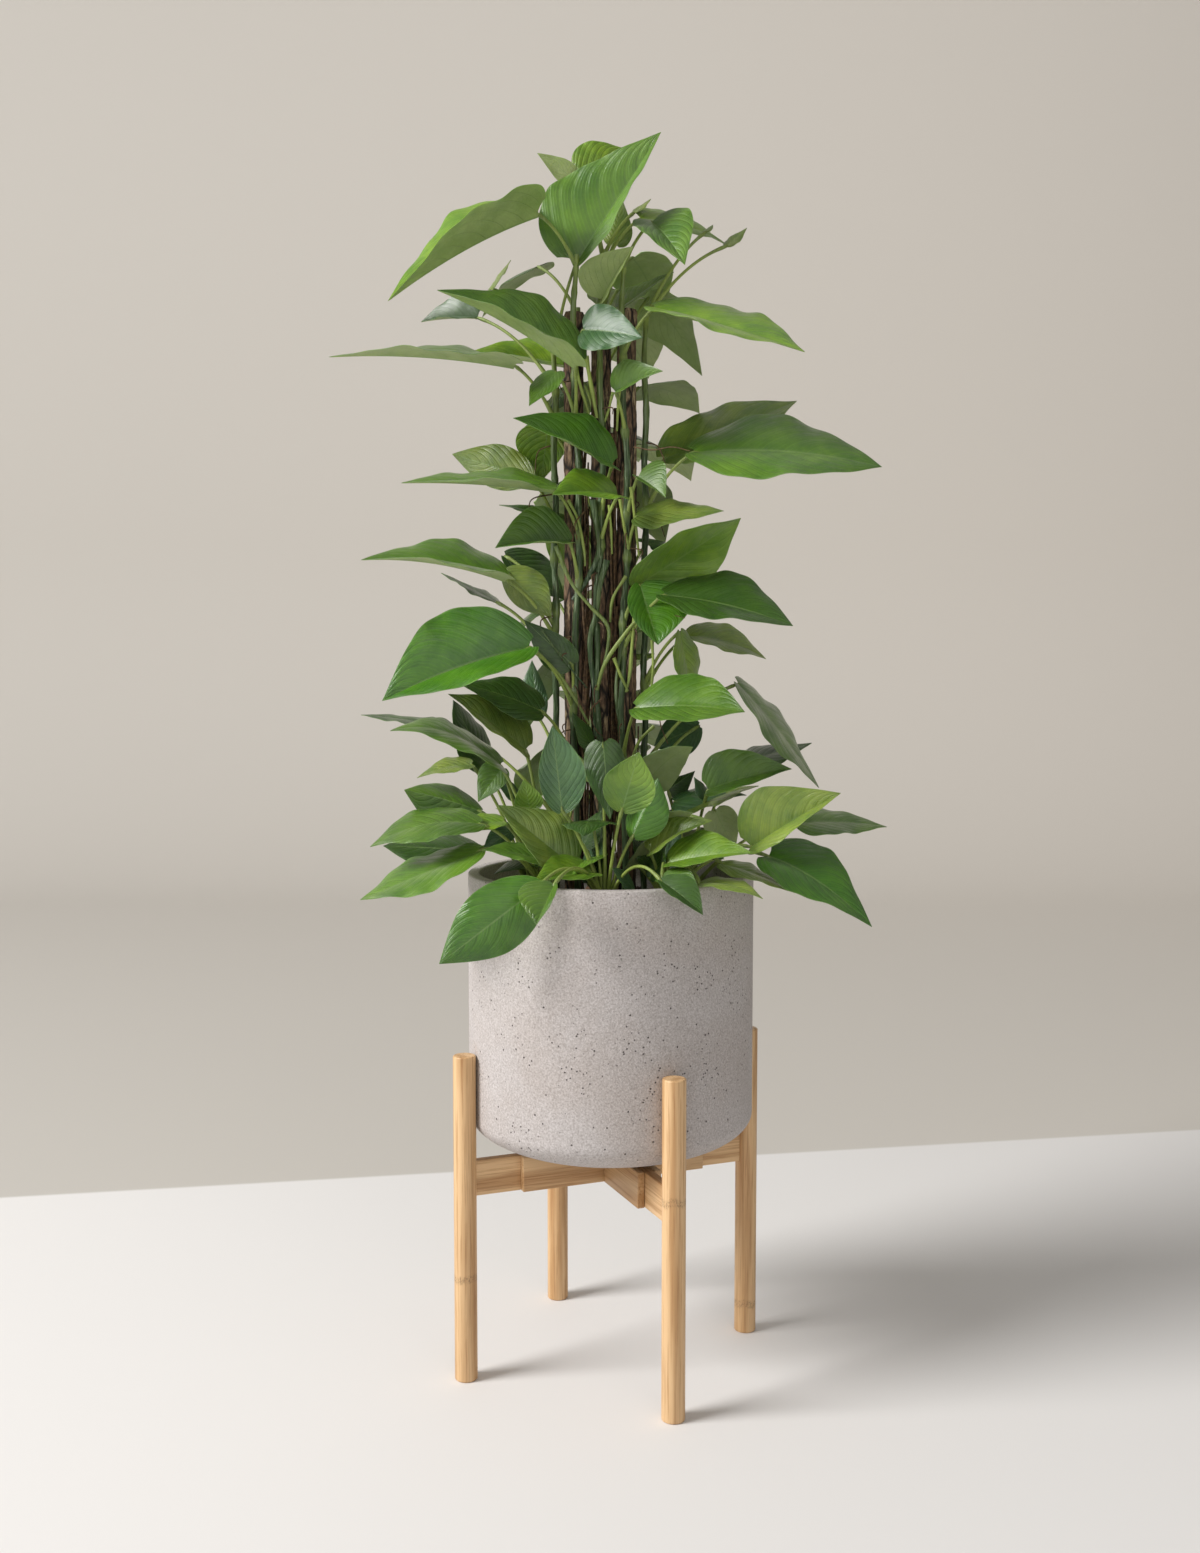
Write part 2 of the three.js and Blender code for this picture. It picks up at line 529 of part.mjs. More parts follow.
function bladeNormal(leaf, s, t) {
  const step = 0.01;
  const ahead = bladePoint(leaf, Math.min(s + step, 1), t).sub(bladePoint(leaf, Math.max(s - step, 0), t));
  const across = bladePoint(leaf, s, Math.min(t + step, 1)).sub(bladePoint(leaf, s, Math.max(t - step, -1)));
  const normal = ahead.cross(across).normalize();
  return normal.dot(leaf.face) < 0 ? normal.negate() : normal;
}

// The stalk leaves its stem, rises and bows over to the base of the blade.
function stalkCurve(start, leaf, bow) {
  const span = leaf.base.clone().sub(start);
  const side = span.clone().cross(UP).normalize();
  const bend = start.clone().addScaledVector(span, STALK_BEND_AT).addScaledVector(side, bow);
  bend.z += STALK_RISE_SHARE * span.length();
  const overRim = Math.hypot(leaf.base.x, leaf.base.y) > potRadius - 2 * POT_WALL;
  if (overRim) bend.z = Math.max(bend.z, rimHeight + STALK_OVER_RIM);
  return new THREE.QuadraticBezierCurve3(start, bend, leaf.base);
}

// Three-cornered rings along the stalk, carried back without twist from the base of the blade.
function stalkRings(leaf, curve, grow) {
  const radius = Math.min(PETIOLE_RADIUS, 1 + 0.03 * leaf.length) + 2 * grow;
  const rings = [];
  let side = leaf.upper.clone().sub(leaf.lower).normalize();
  const hand = Math.sign(side.clone().cross(leaf.along).dot(leaf.face));
  for (let i = PETIOLE_STEPS; i >= 0; i--) {
    const share = i / PETIOLE_STEPS;
    const forward = curve.getTangent(share);
    if (i === PETIOLE_STEPS) forward.add(leaf.along).normalize();
    side = side.clone().addScaledVector(forward, -side.dot(forward)).normalize();
    const top = side.clone().cross(forward).multiplyScalar(hand);
    const middle = curve.getPoint(share);
    const corner = (up, across) =>
      middle.clone().addScaledVector(top, up * radius).addScaledVector(side, across * radius);
    rings.unshift([corner(1, 0), corner(-0.5, 0.87), corner(-0.5, -0.87)]);
  }
  return rings.flat();
}

// A whole leaf as one closed skin: stalk, then the blade as a thin slab with the same triangles
// on both faces, joined round its edge.
function leafSolid(leaf, curve, grow = 0) {
  const grid = leaf.length > BROAD_LEAF ? BROAD_GRID : NARROW_GRID;
  const wide = grid.across.length;
  const long = grid.along.length;
  const middle = (wide - 1) / 2;
  const stalk = stalkRings(leaf, curve, grow);
  const spots = [...grid.along.flatMap((s) => grid.across.map((t) => [s, t])), [1, 0]];
  const corners = [...stalk];
  for (const side of [1, -1]) {
    for (const [s, t] of spots) {
      const normal = bladeNormal(leaf, Math.min(s, 0.96), t);
      corners.push(bladePoint(leaf, s, t, grow).addScaledVector(normal, side * (BLADE_THICKNESS / 2 + grow)));
    }
  }
  const index = [2, 1, 0];
  for (let i = 0; i < PETIOLE_STEPS; i++) {
    for (const [k, next] of [[0, 1], [1, 2], [2, 0]]) {
      const [a, b] = [3 * i + k, 3 * i + next];
      index.push(a, b, b + 3, a, b + 3, a + 3);
    }
  }
  const [crest, left, right] = [0, 1, 2].map((k) => 3 * PETIOLE_STEPS + k);
  const under = spots.length;
  const at = (row, column) => stalk.length + row * wide + column;
  const tip = at(long, 0);
  const sheet = [];
  for (let c = 0; c + 1 < wide; c++) {
    for (let r = 0; r + 1 < long; r++) {
      sheet.push([at(r, c), at(r + 1, c), at(r + 1, c + 1)]);
      sheet.push([at(r, c), at(r + 1, c + 1), at(r, c + 1)]);
    }
    sheet.push([at(long - 1, c), tip, at(long - 1, c + 1)]);
    index.push(crest, at(0, c), at(0, c + 1));
    index.push(at(0, c + 1) + under, at(0, c) + under, c < middle ? left : right);
  }
  for (const [a, b, c] of sheet) {
    index.push(a, b, c, c + under, b + under, a + under);
  }
  index.push(left, at(0, 0), crest, at(0, 0), left, at(0, 0) + under);
  index.push(crest, at(0, wide - 1), right, right, at(0, wide - 1), at(0, wide - 1) + under);
  index.push(right, at(0, middle) + under, left);
  const rows = grid.along.map((_, r) => r);
  const rim = [...rows.map((r) => at(r, 0)), tip, ...rows.toReversed().map((r) => at(r, wide - 1))];
  rim.slice(1).forEach((b, i) => {
    const a = rim[i];
    index.push(b, a, a + under, b, a + under, b + under);
  });
  const geometry = new THREE.BufferGeometry().setFromPoints(corners);
  geometry.setIndex(index);
  return solidOf(geometry);
}

function stemPoint(stem, z) {
  const wander = z < soilTop + 20 ? 0 : STEM_WANDER * Math.sin((z - soilTop - 20) / 62 + stem.x);
  const outward = new THREE.Vector2(stem.x - POLE_X, stem.y * 2).normalize();
  return new THREE.Vector3(stem.x - outward.y * wander, stem.y + outward.x * wander, z);
}

function stemCurve(stem) {
  const bottom = soilTop - STEM_ROOT_DEPTH;
  const heights = [bottom, soilTop + 15];
  for (let z = soilTop + 15 + STEM_STEP; z < stem.top - STEM_STEP / 2; z += STEM_STEP) heights.push(z);
  heights.push(stem.top);
  return new THREE.CatmullRomCurve3(heights.map((z) => stemPoint(stem, z)));
}

// Every stem and shoot is a plant node that leaves are joined to.
function makePlantNodes() {
  const nodes = [];
  for (const [name, stem] of Object.entries(STEMS)) {
    const curve = stemCurve(stem);
    const steps = Math.round((stem.top - soilTop) / 36);
    nodes.push({
      name: `vine_${name}`,
      stem,
      angle: Math.atan2(stem.y * 1.3, stem.x - POLE_X),
      body: tube(curve, STEM_RADIUS, 5, steps),
      clear: tube(curve, STEM_RADIUS + LEAF_CLEARANCE, 5, steps),
    });
  }
  for (const [name, degrees] of Object.entries(SHOOT_ANGLES)) {
    const angle = THREE.MathUtils.degToRad(degrees);
    const x = SHOOT_CIRCLE * Math.cos(angle);
    const y = SHOOT_CIRCLE * Math.sin(angle);
    const top = soilTop + SHOOT_HEIGHT;
    nodes.push({
      name: `shoot_${name}`,
      crown: new THREE.Vector3(x, y, top - 5),
      angle,
      body: post(x, y, soilTop - SHOOT_ROOT_DEPTH, top, SHOOT_RADIUS, 7),
      clear: post(x, y, soilTop - SHOOT_ROOT_DEPTH, top + 1, SHOOT_RADIUS + LEAF_CLEARANCE, 7),
    });
  }
  return nodes;
}

function angleBetween(a, b) {
  return Math.abs(Math.atan2(Math.sin(a - b), Math.cos(a - b)));
}

// The stem or shoot that a leaf grows on is the nearest by direction that reaches its height.
function nodeFor(leaf, nodes) {
  const low = leaf.base.z < SHOOT_LEAF_TOP;
  const angle = Math.atan2(leaf.base.y, leaf.base.x - (low ? 0 : POLE_X));
  const able = nodes.filter((node) => (low ? node.crown : node.stem));
  const miss = (node) => {
    const short = node.stem ? Math.max(0, leaf.base.z - 60 - node.stem.top) / 60 : 0;
    return angleBetween(node.angle, angle) + short;
  };
  return able.reduce((best, node) => (miss(node) < miss(best) ? node : best));
}

function stalkStart(leaf, node) {
  if (node.crown) {
    const outward = leaf.base.clone().sub(node.crown).setZ(0);
    return node.crown.clone().add(outward.setLength(SHOOT_RADIUS / 3));
  }
  const reach = Math.hypot(leaf.base.x - node.stem.x, leaf.base.y - node.stem.y);
  const height = leaf.base.z - 30 - 0.55 * reach;
  return stemPoint(node.stem, Math.min(Math.max(height, soilTop + 25), node.stem.top - 6));
}

function boxesMeet(a, b) {
  return [0, 1, 2].every((axis) => a.min[axis] < b.max[axis] && b.min[axis] < a.max[axis]);
}

// How much of a leaf lies in what is already placed, in mm3.
function overlap(trial, node, placed) {
  let total = 0;
  for (const other of placed) {
    const own = other.node === node;
    if (own && !other.clearBlade) continue;
    const piece = own ? trial.clearBlade : trial.clear;
    const obstacle = own ? other.clearBlade : other.clear;
    if (boxesMeet(piece.boundingBox(), obstacle.boundingBox())) {
      total += piece.intersect(obstacle).volume();
    }
  }
  return total;
}

function trialOf(leaf, node, bow) {
  const curve = stalkCurve(stalkStart(leaf, node), leaf, bow);
  const stub = new THREE.LineCurve3(leaf.base.clone().addScaledVector(leaf.along, -3), leaf.base);
  return {
    leaf,
    curve,
    clearBlade: leafSolid(leaf, stub, LEAF_CLEARANCE),
    clear: leafSolid(leaf, curve, LEAF_CLEARANCE),
  };
}

function settle({ leaf, curve, clearBlade, clear }, node, placed) {
  placed.push({ node, clearBlade, clear });
  node.body = node.body.add(leafSolid(leaf, curve));
  node.clear = node.clear.add(clear);
}

function placeSeenLeaves(nodes, placed) {
  const rows = [...CROWN_LEAVES, ...UPPER_LEAVES, ...MIDDLE_LEAVES, ...LOWER_LEAVES];
  rows.forEach((row, index) => {
    let best = null;
    for (const shift of DEPTH_SHIFTS) {
      for (const bow of STALK_BOWS) {
        if (best && best.share === 0) continue;
        const leaf = seenLeaf(row, index, shift);
        const node = nodeFor(leaf, nodes);
        const trial = trialOf(leaf, node, bow);
        const share = overlap(trial, node, placed);
        if (!best || share < best.share) best = { trial, node, share };
      }
    }
    settle(best.trial, best.node, placed);
  });
}

// A seeded sequence of numbers from 0 to 1.
function makeDraws(seed) {
  let state = seed;
  return () => {
    state = (state * 1664525 + 1013904223) % 4294967296;
    return state / 4294967296;
  };
}

function hiddenLeaf({ azimuth, height, reach, length, fall, roll, phase }) {
  const angle = THREE.MathUtils.degToRad(azimuth);
  const outward = new THREE.Vector3(Math.cos(angle), Math.sin(angle), 0);
  const base = new THREE.Vector3(POLE_X, 0, height).addScaledVector(outward, reach);
  const run = Math.min(Math.sqrt(length ** 2 - fall ** 2), HIDDEN_REACH - reach);
  const tip = base.clone().addScaledVector(outward, run).addScaledVector(UP, -fall);
  const across = outward.clone().cross(UP).applyAxisAngle(outward, roll);
  const span = base.distanceTo(tip);
  const half = HALF_WIDTH_SHARE * span;
  const halves = [across.clone().multiplyScalar(half), across.clone().multiplyScalar(-half)];
  return leafFrom(base, tip, span * HIDDEN_RISE_SHARE, halves, phase);
}

function placeHiddenLeaves(nodes, placed) {
  const draw = makeDraws(HIDDEN_SEED);
  for (let i = 0; i < HIDDEN_COUNT; i++) {
    let best = null;
    for (let attempt = 0; attempt < HIDDEN_TRIES; attempt++) {
      const up = (i + draw()) / HIDDEN_COUNT;
      const fan = (((i * GOLDEN_ANGLE) / 360) % 1) * 2 - 1;
      const height = HIDDEN_BOTTOM + up * (HIDDEN_TOP - HIDDEN_BOTTOM);
      const length = HIDDEN_LENGTH[0] + draw() * (HIDDEN_LENGTH[1] - HIDDEN_LENGTH[0]) * (1.1 - 0.5 * up);
      const leaf = hiddenLeaf({
        azimuth: 90 + HIDDEN_FAN * (fan * 0.75 + (draw() - 0.5) * 0.5),
        height,
        reach: HIDDEN_BASE_REACH[0] + draw() * (HIDDEN_BASE_REACH[1] - HIDDEN_BASE_REACH[0]),
        length,
        fall: length * (0.1 + 0.7 * draw()),
        roll: (draw() - 0.5) * 0.9,
        phase: draw(),
      });
      if (best && best.share === 0) continue;
      const node = nodeFor(leaf, nodes);
      const trial = trialOf(leaf, node, 0);
      const share = overlap(trial, node, placed);
      if (!best || share < best.share) best = { trial, node, share };
    }
    if (best.share === 0) settle(best.trial, best.node, placed);
  }
}

// The largest of the bodies that a cut leaves.
function mainBody(solid) {
  return solid.decompose().reduce((best, body) => (body.volume() > best.volume() ? body : best));
}

function cutClear(solid, others) {
  let cut = solid;
  for (const other of others) {
    if (cut.intersect(other).volume() > 0) cut = cut.subtract(other);
  }
  return mainBody(cut).simplify(SMALLEST_EDGE);
}

makeStand();

const planter = potSolid(0);
addMesh("planter", planter, COLOURS.concrete, 0.9);

for (const [name, stake] of Object.entries(STAKES)) {
  addMesh(`stake_${name}`, stakeSolid(stake), COLOURS.bark, 0.9);
}
const stakeReach = STAKE_RADIUS + BARK_RELIEF;
const stakeClear = Object.values(STAKES).map(({ x, top }) =>
  post(x, 0, STAKE_FOOT, top + 1, stakeReach + CLEARANCE, 12),
);

const nodes = makePlantNodes();
const placed = nodes.map((node) => ({ node, clear: node.clear }));
for (const clear of stakeClear) placed.push({ node: null, clear });
placed.push({ node: null, clear: potSolid(LEAF_CLEARANCE) });
const hindmost = hiddenLeaf(HINDMOST_LEAF);
const hindNode = nodeFor(hindmost, nodes);
settle(trialOf(hindmost, hindNode, 0), hindNode, placed);
placeSeenLeaves(nodes, placed);
placeHiddenLeaves(nodes, placed);

let soil = soilSolid();
for (const { x } of Object.values(STAKES)) soil = soil.subtract(hole(x, 0, STAKE_FOOT, stakeReach, 10));
for (const { stem, crown } of nodes) {
  const { x, y } = stem ?? crown;
  const radius = stem ? STEM_RADIUS : SHOOT_RADIUS;
  const depth = stem ? STEM_ROOT_DEPTH : SHOOT_ROOT_DEPTH;
  soil = soil.subtract(hole(x, y, soilTop - depth, radius, 6));
}
addMesh("soil", soil, COLOURS.soil, 0.95);

const fixed = [...stakeClear, potSolid(LEAF_CLEARANCE)];
nodes.forEach((node, i) => {
  const body = cutClear(node.body, [...fixed, ...nodes.slice(0, i).map((other) => other.clear)]);
  addMesh(node.name, body, node.stem ? COLOURS.foliage : COLOURS.young, 0.45);
});

export default part;
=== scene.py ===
"""A jade pothos on bark stakes, in a concrete planter on a bamboo stand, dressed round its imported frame."""

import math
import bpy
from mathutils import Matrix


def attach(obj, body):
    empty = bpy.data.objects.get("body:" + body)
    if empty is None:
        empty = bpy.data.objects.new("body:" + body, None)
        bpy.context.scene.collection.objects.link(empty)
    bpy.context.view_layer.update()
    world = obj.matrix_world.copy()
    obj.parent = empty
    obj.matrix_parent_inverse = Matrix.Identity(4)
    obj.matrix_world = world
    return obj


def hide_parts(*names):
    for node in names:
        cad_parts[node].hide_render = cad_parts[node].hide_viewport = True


bl_info = {
    "name": "Potted Jade Pothos",
    "version": (1, 0, 0),
    "blender": (4, 5, 0),
    "location": "3D View > Sidebar > Pothos",
    "description": "Makes the foliage, stakes, planter and stand of a potted jade pothos",
    "category": "Object",
}

from types import SimpleNamespace

import bmesh
import bpy
import numpy as np
from mathutils import Matrix, Vector, noise
from mathutils.kdtree import KDTree

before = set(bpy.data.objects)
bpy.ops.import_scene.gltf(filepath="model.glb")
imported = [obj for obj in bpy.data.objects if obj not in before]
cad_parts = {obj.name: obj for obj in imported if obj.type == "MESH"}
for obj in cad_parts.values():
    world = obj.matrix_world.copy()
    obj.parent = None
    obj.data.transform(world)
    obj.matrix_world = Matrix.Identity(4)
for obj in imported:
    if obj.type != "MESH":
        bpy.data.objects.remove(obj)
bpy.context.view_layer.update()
PLANT_BODY = "planter_and_plant"

# Sizes in millimetres, most of them shared with the solids
MM = 0.001
LEG_ANGLES = {"front_right": -68, "back_right": 22, "back_left": 112, "front_left": 202}
LEG_CIRCLE = 165
LEG_DIAMETER = 24
LEG_HEIGHT = 348
LEG_END_ROUNDING = 2
LEG_NODE_HEIGHTS = {"front_right": 231, "back_right": 40, "back_left": 185, "front_left": 117}
BAR_NODE_PLACE = 70
MORTISE_DEPTH = 8
ARM_THICKNESS = 10
GAP = 0.3
BAR_BOTTOM = 198
BAR_HEIGHT = 37.5
POT_RADIUS = 152.5
POT_BOTTOM = 235.8
POT_HEIGHT = 298
POT_WALL = 12
POT_ROUNDING = (104, 40)
POT_BASE_RING = 30
RIM_HEIGHT = POT_BOTTOM + POT_HEIGHT
RIM_ROUNDING = 2.5
SOIL_TOP = RIM_HEIGHT - 38
SOIL_RADIUS = POT_RADIUS - POT_WALL - GAP
STAKES = {"left": (-39, 1121), "middle": (-10.5, 1116), "right": (16.5, 1124)}
STAKE_RADIUS = 10.2
STAKE_LARGEST = 11.4
STAKE_FOOT = 300
POLE_X = -11
STEM_RADIUS = 4
STEM_WANDER = 3.5
STEM_STEP = 80
STEM_KNOT_SPACING = 44
STEMS = {
    "front_left": (-36, -18.5, 1176),
    "front": (-12, -19, 1120),
    "front_right": (14, -18.5, 1168),
    "right": (36, 1, 1120),
    "back_right": (12, 18.5, 1085),
    "back": (-12, 19, 1190),
    "back_left": (-36, 18.5, 1130),
    "left": (-59, -1, 1090),
}
SHOOT_CIRCLE = 84
SHOOT_RADIUS = 4.5
SHOOT_HEIGHT = 16
SHOOT_ANGLES = {
    "east": 8,
    "north_east": 50,
    "north": 92,
    "north_west": 136,
    "west": 178,
    "south_west": 222,
    "south": 266,
    "south_east": 312,
}
SHOOT_LEAF_TOP = 678

# Leaf blades and stalks: shares are of their length, sizes in millimetres. A grid is for blades of its
# least length or more, and has so many points along and across
BLADE_THICKNESS = 0.8
HALF_WIDTH_SHARE = 0.36
HEART_SKEW = 0.55
FULL_SKEW = 0.8
LOBE_SHARE = 0.05
DROOP_SHARE = 0.0576
WAVE_SHARE = 0.02
STALK_BEND_AT = 0.45
STALK_RISE_SHARE = 0.22
STALK_OVER_RIM = 45
RUFFLE_SHARE = 0.008
GROOVE_SHARE = 0.006
VEIN_PAIRS = 8
VEIN_LEAN = 0.26
VEIN_BEND = 0.20
QUILT_SHARE = 0.0022
RIB_SHARE = 0.010
BLADE_GRIDS = [(120, 62, 18), (60, 42, 14), (0, 20, 8)]

# Viewpoint that the leaf places are given from, in picture units and millimetres
FOCAL = 1594
PICTURE_MIDDLE = (600, 776.5)
PICTURE_SIZE = (1200, 1553)
EYE = Vector((-11.5, -1697.3, 763.2))
EYE_PITCH = math.radians(4.33)

# Each leaf: base and tip in picture units, depth of both, width of the upper and lower half as seen,
# rise of the midrib and colour. A leaf is level unless it says how its halves lean, heart-shaped unless
# it is full towards the tip, and glossy on top unless it is turned over
LEAF_ROWS = [
    ((538, 214), (388, 301), (-15, -70), (46, -14), 8, "bright"),
    ((578, 184), (537, 153), (10, 0), (11, 11), 2, "pale", "flat"),
    ((580, 177), (635, 152), (22, 40), (28, 7), 2, "lime", "flat"),
    ((577, 262), (661, 132), (-2, -12), (61, 14), 0, "jade"),
    ((614, 244), (622, 199), (30, 42), (13, 16), 0, "olive", "flat"),
    ((602, 300), (634, 246), (-12, -35), (33, 5), 2, "olive"),
    ((652, 222), (685, 265), (-12, -80), (34, 20), 4, "jade"),
    ((640, 219), (730, 247), (34, 62), (19, 12), 7, "lime"),
    ((634, 213), (651, 199), (40, 50), (4, 4), 0, "pale"),
    ((706, 232), (713, 225), (52, 62), (3, 3), 0, "pale"),
    ((727, 246), (747, 228), (20, 26), (6, 6), 0, "pale"),
    ((623, 307), (674, 272), (4, 22), (15, 5), 1, "lime"),
    ((654, 308), (805, 352), (-30, -90), (33, 15), 2, "bright", "full"),
    ((576, 367), (437, 290), (-24, -62), (44, -4), 6, "jade"),
    ((478, 318), (421, 322), (40, 70), (24, 3), 2, "dark"),
    ((492, 289), (511, 260), (30, 40), (5, 4), 0, "pale"),
    ((515, 366), (329, 357), (-12, -22), (21, 3), 6, "jade"),
    ((565, 366), (462, 355), (40, 62), (30, 4), 2, "lime"),
    ((556, 372), (529, 406), (-34, -60), (14, 12), 0, "jade"),
    ((566, 392), (549, 413), (40, 50), (8, 8), 0, "dark"),
    ((583, 330), (643, 338), (-38, -78), (27, 22), 2, "teal"),
    ((616, 393), (663, 371), (-32, -72), (24, 4), 3, "jade"),
    ((612, 466), (513, 418), (-42, -92), (34, 5), 3, "gloss"),
    ((548, 428), (541, 482), (24, 44), (30, 20), 0, "lime", "flat", "turned"),
    ((530, 478), (452, 454), (30, 60), (24, 20), 0, "pale", "flat", "full"),
    ((556, 491), (401, 483), (-20, -60), (20, 2), 4, "jade"),
    ((618, 496), (552, 495), (-46, -112), (26, 8), 4, "bright"),
    ((694, 452), (882, 467), (-18, -50), (42, 32), 8, "jade", "full"),
    ((666, 458), (797, 401), (14, 42), (34, 22), 0, "olive", "full"),
    ((638, 477), (666, 498), (-24, -52), (26, 4), 2, "jade"),
    ((637, 516), (724, 511), (-6, -30), (14, 15), 2, "olive"),
    ((637, 585), (741, 518), (-12, -40), (20, 34), 0, "bright", "folded", "full", "turned"),
    ((664, 595), (793, 626), (-48, -92), (34, 17), 5, "dark", "full"),
    ((640, 585), (658, 645), (-58, -84), (46, 18), 0, "gloss", "full"),
    ((688, 636), (766, 659), (22, 32), (18, 9), 6, "olive", "full"),
    ((680, 632), (694, 705), (2, 12), (15, 12), 0, "lime", "full"),
    ((636, 708), (745, 712), (-62, -112), (33, 15), 4, "jade", "full"),
    ((738, 684), (819, 788), (20, 42), (14, 15), 6, "jade", "full"),
    ((699, 726), (654, 746), (34, 54), (20, 22), 0, "teal", "flat", "full", "turned"),
    ((708, 790), (792, 769), (-32, -44), (33, 6), 3, "jade"),
    ((735, 764), (812, 743), (26, 46), (9, 10), 0, "dark"),
    ((570, 543), (495, 548), (-34, -72), (36, 2), 3, "jade", "full"),
    ((562, 522), (499, 505), (12, 20), (9, 4), 2, "dark"),
    ((506, 580), (361, 560), (-24, -60), (27, 0), 8, "jade"),
    ((506, 572), (552, 617), (-6, -16), (23, 17), 0, "pale", "flat", "full"),
    ((505, 556), (566, 600), (18, 28), (23, 12), 0, "dark", "flat", "full", "turned"),
    ((496, 602), (441, 573), (22, 40), (4, 3), 0, "dark"),
    ((530, 647), (382, 701), (-62, -104), (58, 20), 6, "gloss", "full"),
    ((572, 664), (524, 620), (-8, -18), (15, 20), 0, "dark", "flat", "turned"),
    ((537, 716), (532, 660), (4, 12), (12, 18), 0, "teal", "flat"),
    ((526, 750), (448, 694), (-52, -82), (24, 5), 3, "olive"),
    ((541, 711), (460, 684), (-22, -36), (20, 15), 3, "dark"),
    ((445, 728), (361, 715), (14, 26), (4, 3), 2, "dark"),
    ((501, 766), (390, 731), (-56, -92), (10, 9), 17, "jade"),
    ((488, 772), (453, 700), (-4, -14), (12, 16), 0, "dark", "full"),
    ((502, 768), (478, 802), (-40, -52), (18, 12), 0, "jade"),
    ((472, 765), (417, 778), (0, -10), (9, 5), 4, "pale"),
    ((480, 811), (404, 790), (-24, -44), (12, 30), 2, "jade", "full"),
    ((480, 824), (370, 847), (-48, -66), (14, 13), 11, "jade", "full"),
    ((504, 822), (452, 833), (-72, -84), (9, 5), 3, "lime"),
    ((478, 850), (383, 846), (-30, -42), (12, 19), 0, "dark", "full"),
    ((479, 851), (360, 900), (-66, -86), (15, 14), 0, "jade", "full"),
    ((539, 887), (439, 964), (-160, -190), (35, 35), 0, "gloss", "flat", "full"),
    ((554, 885), (536, 925), (-174, -200), (30, 5), 0, "jade", "full"),
    ((592, 873), (534, 882), (-100, -150), (21, 4), 2, "bright"),
    ((571, 864), (497, 805), (-92, -112), (33, 16), 0, "olive"),
    ((546, 862), (482, 850), (-76, -94), (10, 4), 3, "jade"),
    ((517, 827), (483, 850), (-84, -92), (13, 9), 0, "teal", "flat", "full"),
    ((562, 810), (552, 726), (-112, -132), (28, 19), 0, "teal", "flat", "full", "turned"),
    ((603, 742), (610, 820), (-96, -112), (20, 21), 0, "dark", "flat"),
    ((622, 810), (639, 752), (-120, -146), (26, 27), 0, "bright", "flat", "full", "turned"),
    ((633, 836), (658, 778), (-108, -100), (13, 27), 0, "gloss", "full"),
    ((678, 814), (759, 786), (-44, -34), (8, 4), 4, "olive"),
    ((751, 847), (841, 793), (-62, -84), (44, 6), 2, "olive"),
    ((797, 823), (887, 827), (-8, 14), (12, 10), 3, "jade"),
    ((768, 856), (872, 927), (-72, -112), (33, 21), 9, "gloss"),
    ((722, 864), (795, 893), (-92, -112), (5, 6), 3, "olive"),
    ((700, 884), (763, 899), (-112, -146), (6, 4), 6, "olive"),
    ((669, 863), (753, 853), (-112, -142), (23, 3), 3, "bright"),
    ((650, 853), (713, 821), (-92, -104), (21, 1), 6, "olive"),
    ((662, 878), (700, 891), (-122, -152), (14, 6), 3, "jade"),
    ((661, 881), (703, 915), (-158, -180), (20, 5), 2, "dark", "full"),
    ((715, 810), (735, 852), (-30, -22), (18, 18), 0, "dark"),
    ((588, 884), (605, 836), (-62, -72), (13, 11), 0, "teal"),
    ((584, 845), (602, 810), (-50, -58), (11, 11), 0, "dark"),
    ((530, 810), (524, 779), (-74, -84), (15, 14), 0, "bright", "flat", "turned"),
    ((668, 790), (695, 771), (10, 22), (6, 14), 0, "dark"),
    ((634, 890), (612, 868), (-96, -112), (5, 7), 2, "teal"),
    ((648, 862), (632, 838), (-58, -66), (6, 8), 0, "dark"),
    ((650, 878), (664, 846), (-74, -82), (8, 7), 0, "dark"),
    ((668, 858), (681, 830), (-52, -56), (5, 8), 0, "teal"),
    ((706, 797), (694, 777), (-16, -20), (5, 7), 0, "teal"),
    ((592, 746), (572, 712), (-34, -44), (7, 9), 0, "dark"),
]
LEANS = {"flat": (0, 0), "folded": (-1, 1)}
LEVEL = (1, -1)

# Shifts in depth that a seen leaf may have taken among the solids, to stand clear of its neighbours, and
# how near in metres a leaf's tip lies to a corner of the solids where it stands
DEPTH_SHIFTS = (0, -14, 14, -28, 28, -44, 44)
STANDS_AT = 0.0015

# Leaves round the back, drawn by the rule that the solids use
HIDDEN_COUNT = 33
HIDDEN_TRIES = 14
HIDDEN_SEED = 20
HIDDEN_HEIGHTS = (560, 1215)
HIDDEN_FAN = 66
HIDDEN_BASE_REACH = (50, 95)
HIDDEN_REACH = 202
HIDDEN_LENGTH = (92, 158)
HIDDEN_RISE_SHARE = 0.1
HIDDEN_TONES = ["jade", "dark", "bright", "olive", "teal", "jade"]
GOLDEN_ANGLE = 137.508
HINDMOST_LEAF = (92, 905, 80, 124, 30, 0.1, 0)

# Aerial roots that show: start u, v and depth, then the points that they pass
SEEN_ROOTS = [
    (634, 447, -28, [(652, 450, -40), (672, 447, -48), (690, 451, -50)]),
    (636, 621, -26, [(655, 623, -38), (672, 616, -44), (685, 618, -46)]),
    (600, 700, -28, [(590, 712, -38), (596, 730, -40), (606, 738, -36)]),
    (652, 690, -24, [(662, 700, -34), (660, 722, -38), (668, 744, -38)]),
    (584, 512, -28, [(575, 524, -36), (577, 540, -40)]),
]
ROOTS_ON_A_STEM = 5
ROOT_SEED = 8
ROOT_RADIUS = 0.95
CLINGING_ROOT_RADIUS = 1.7

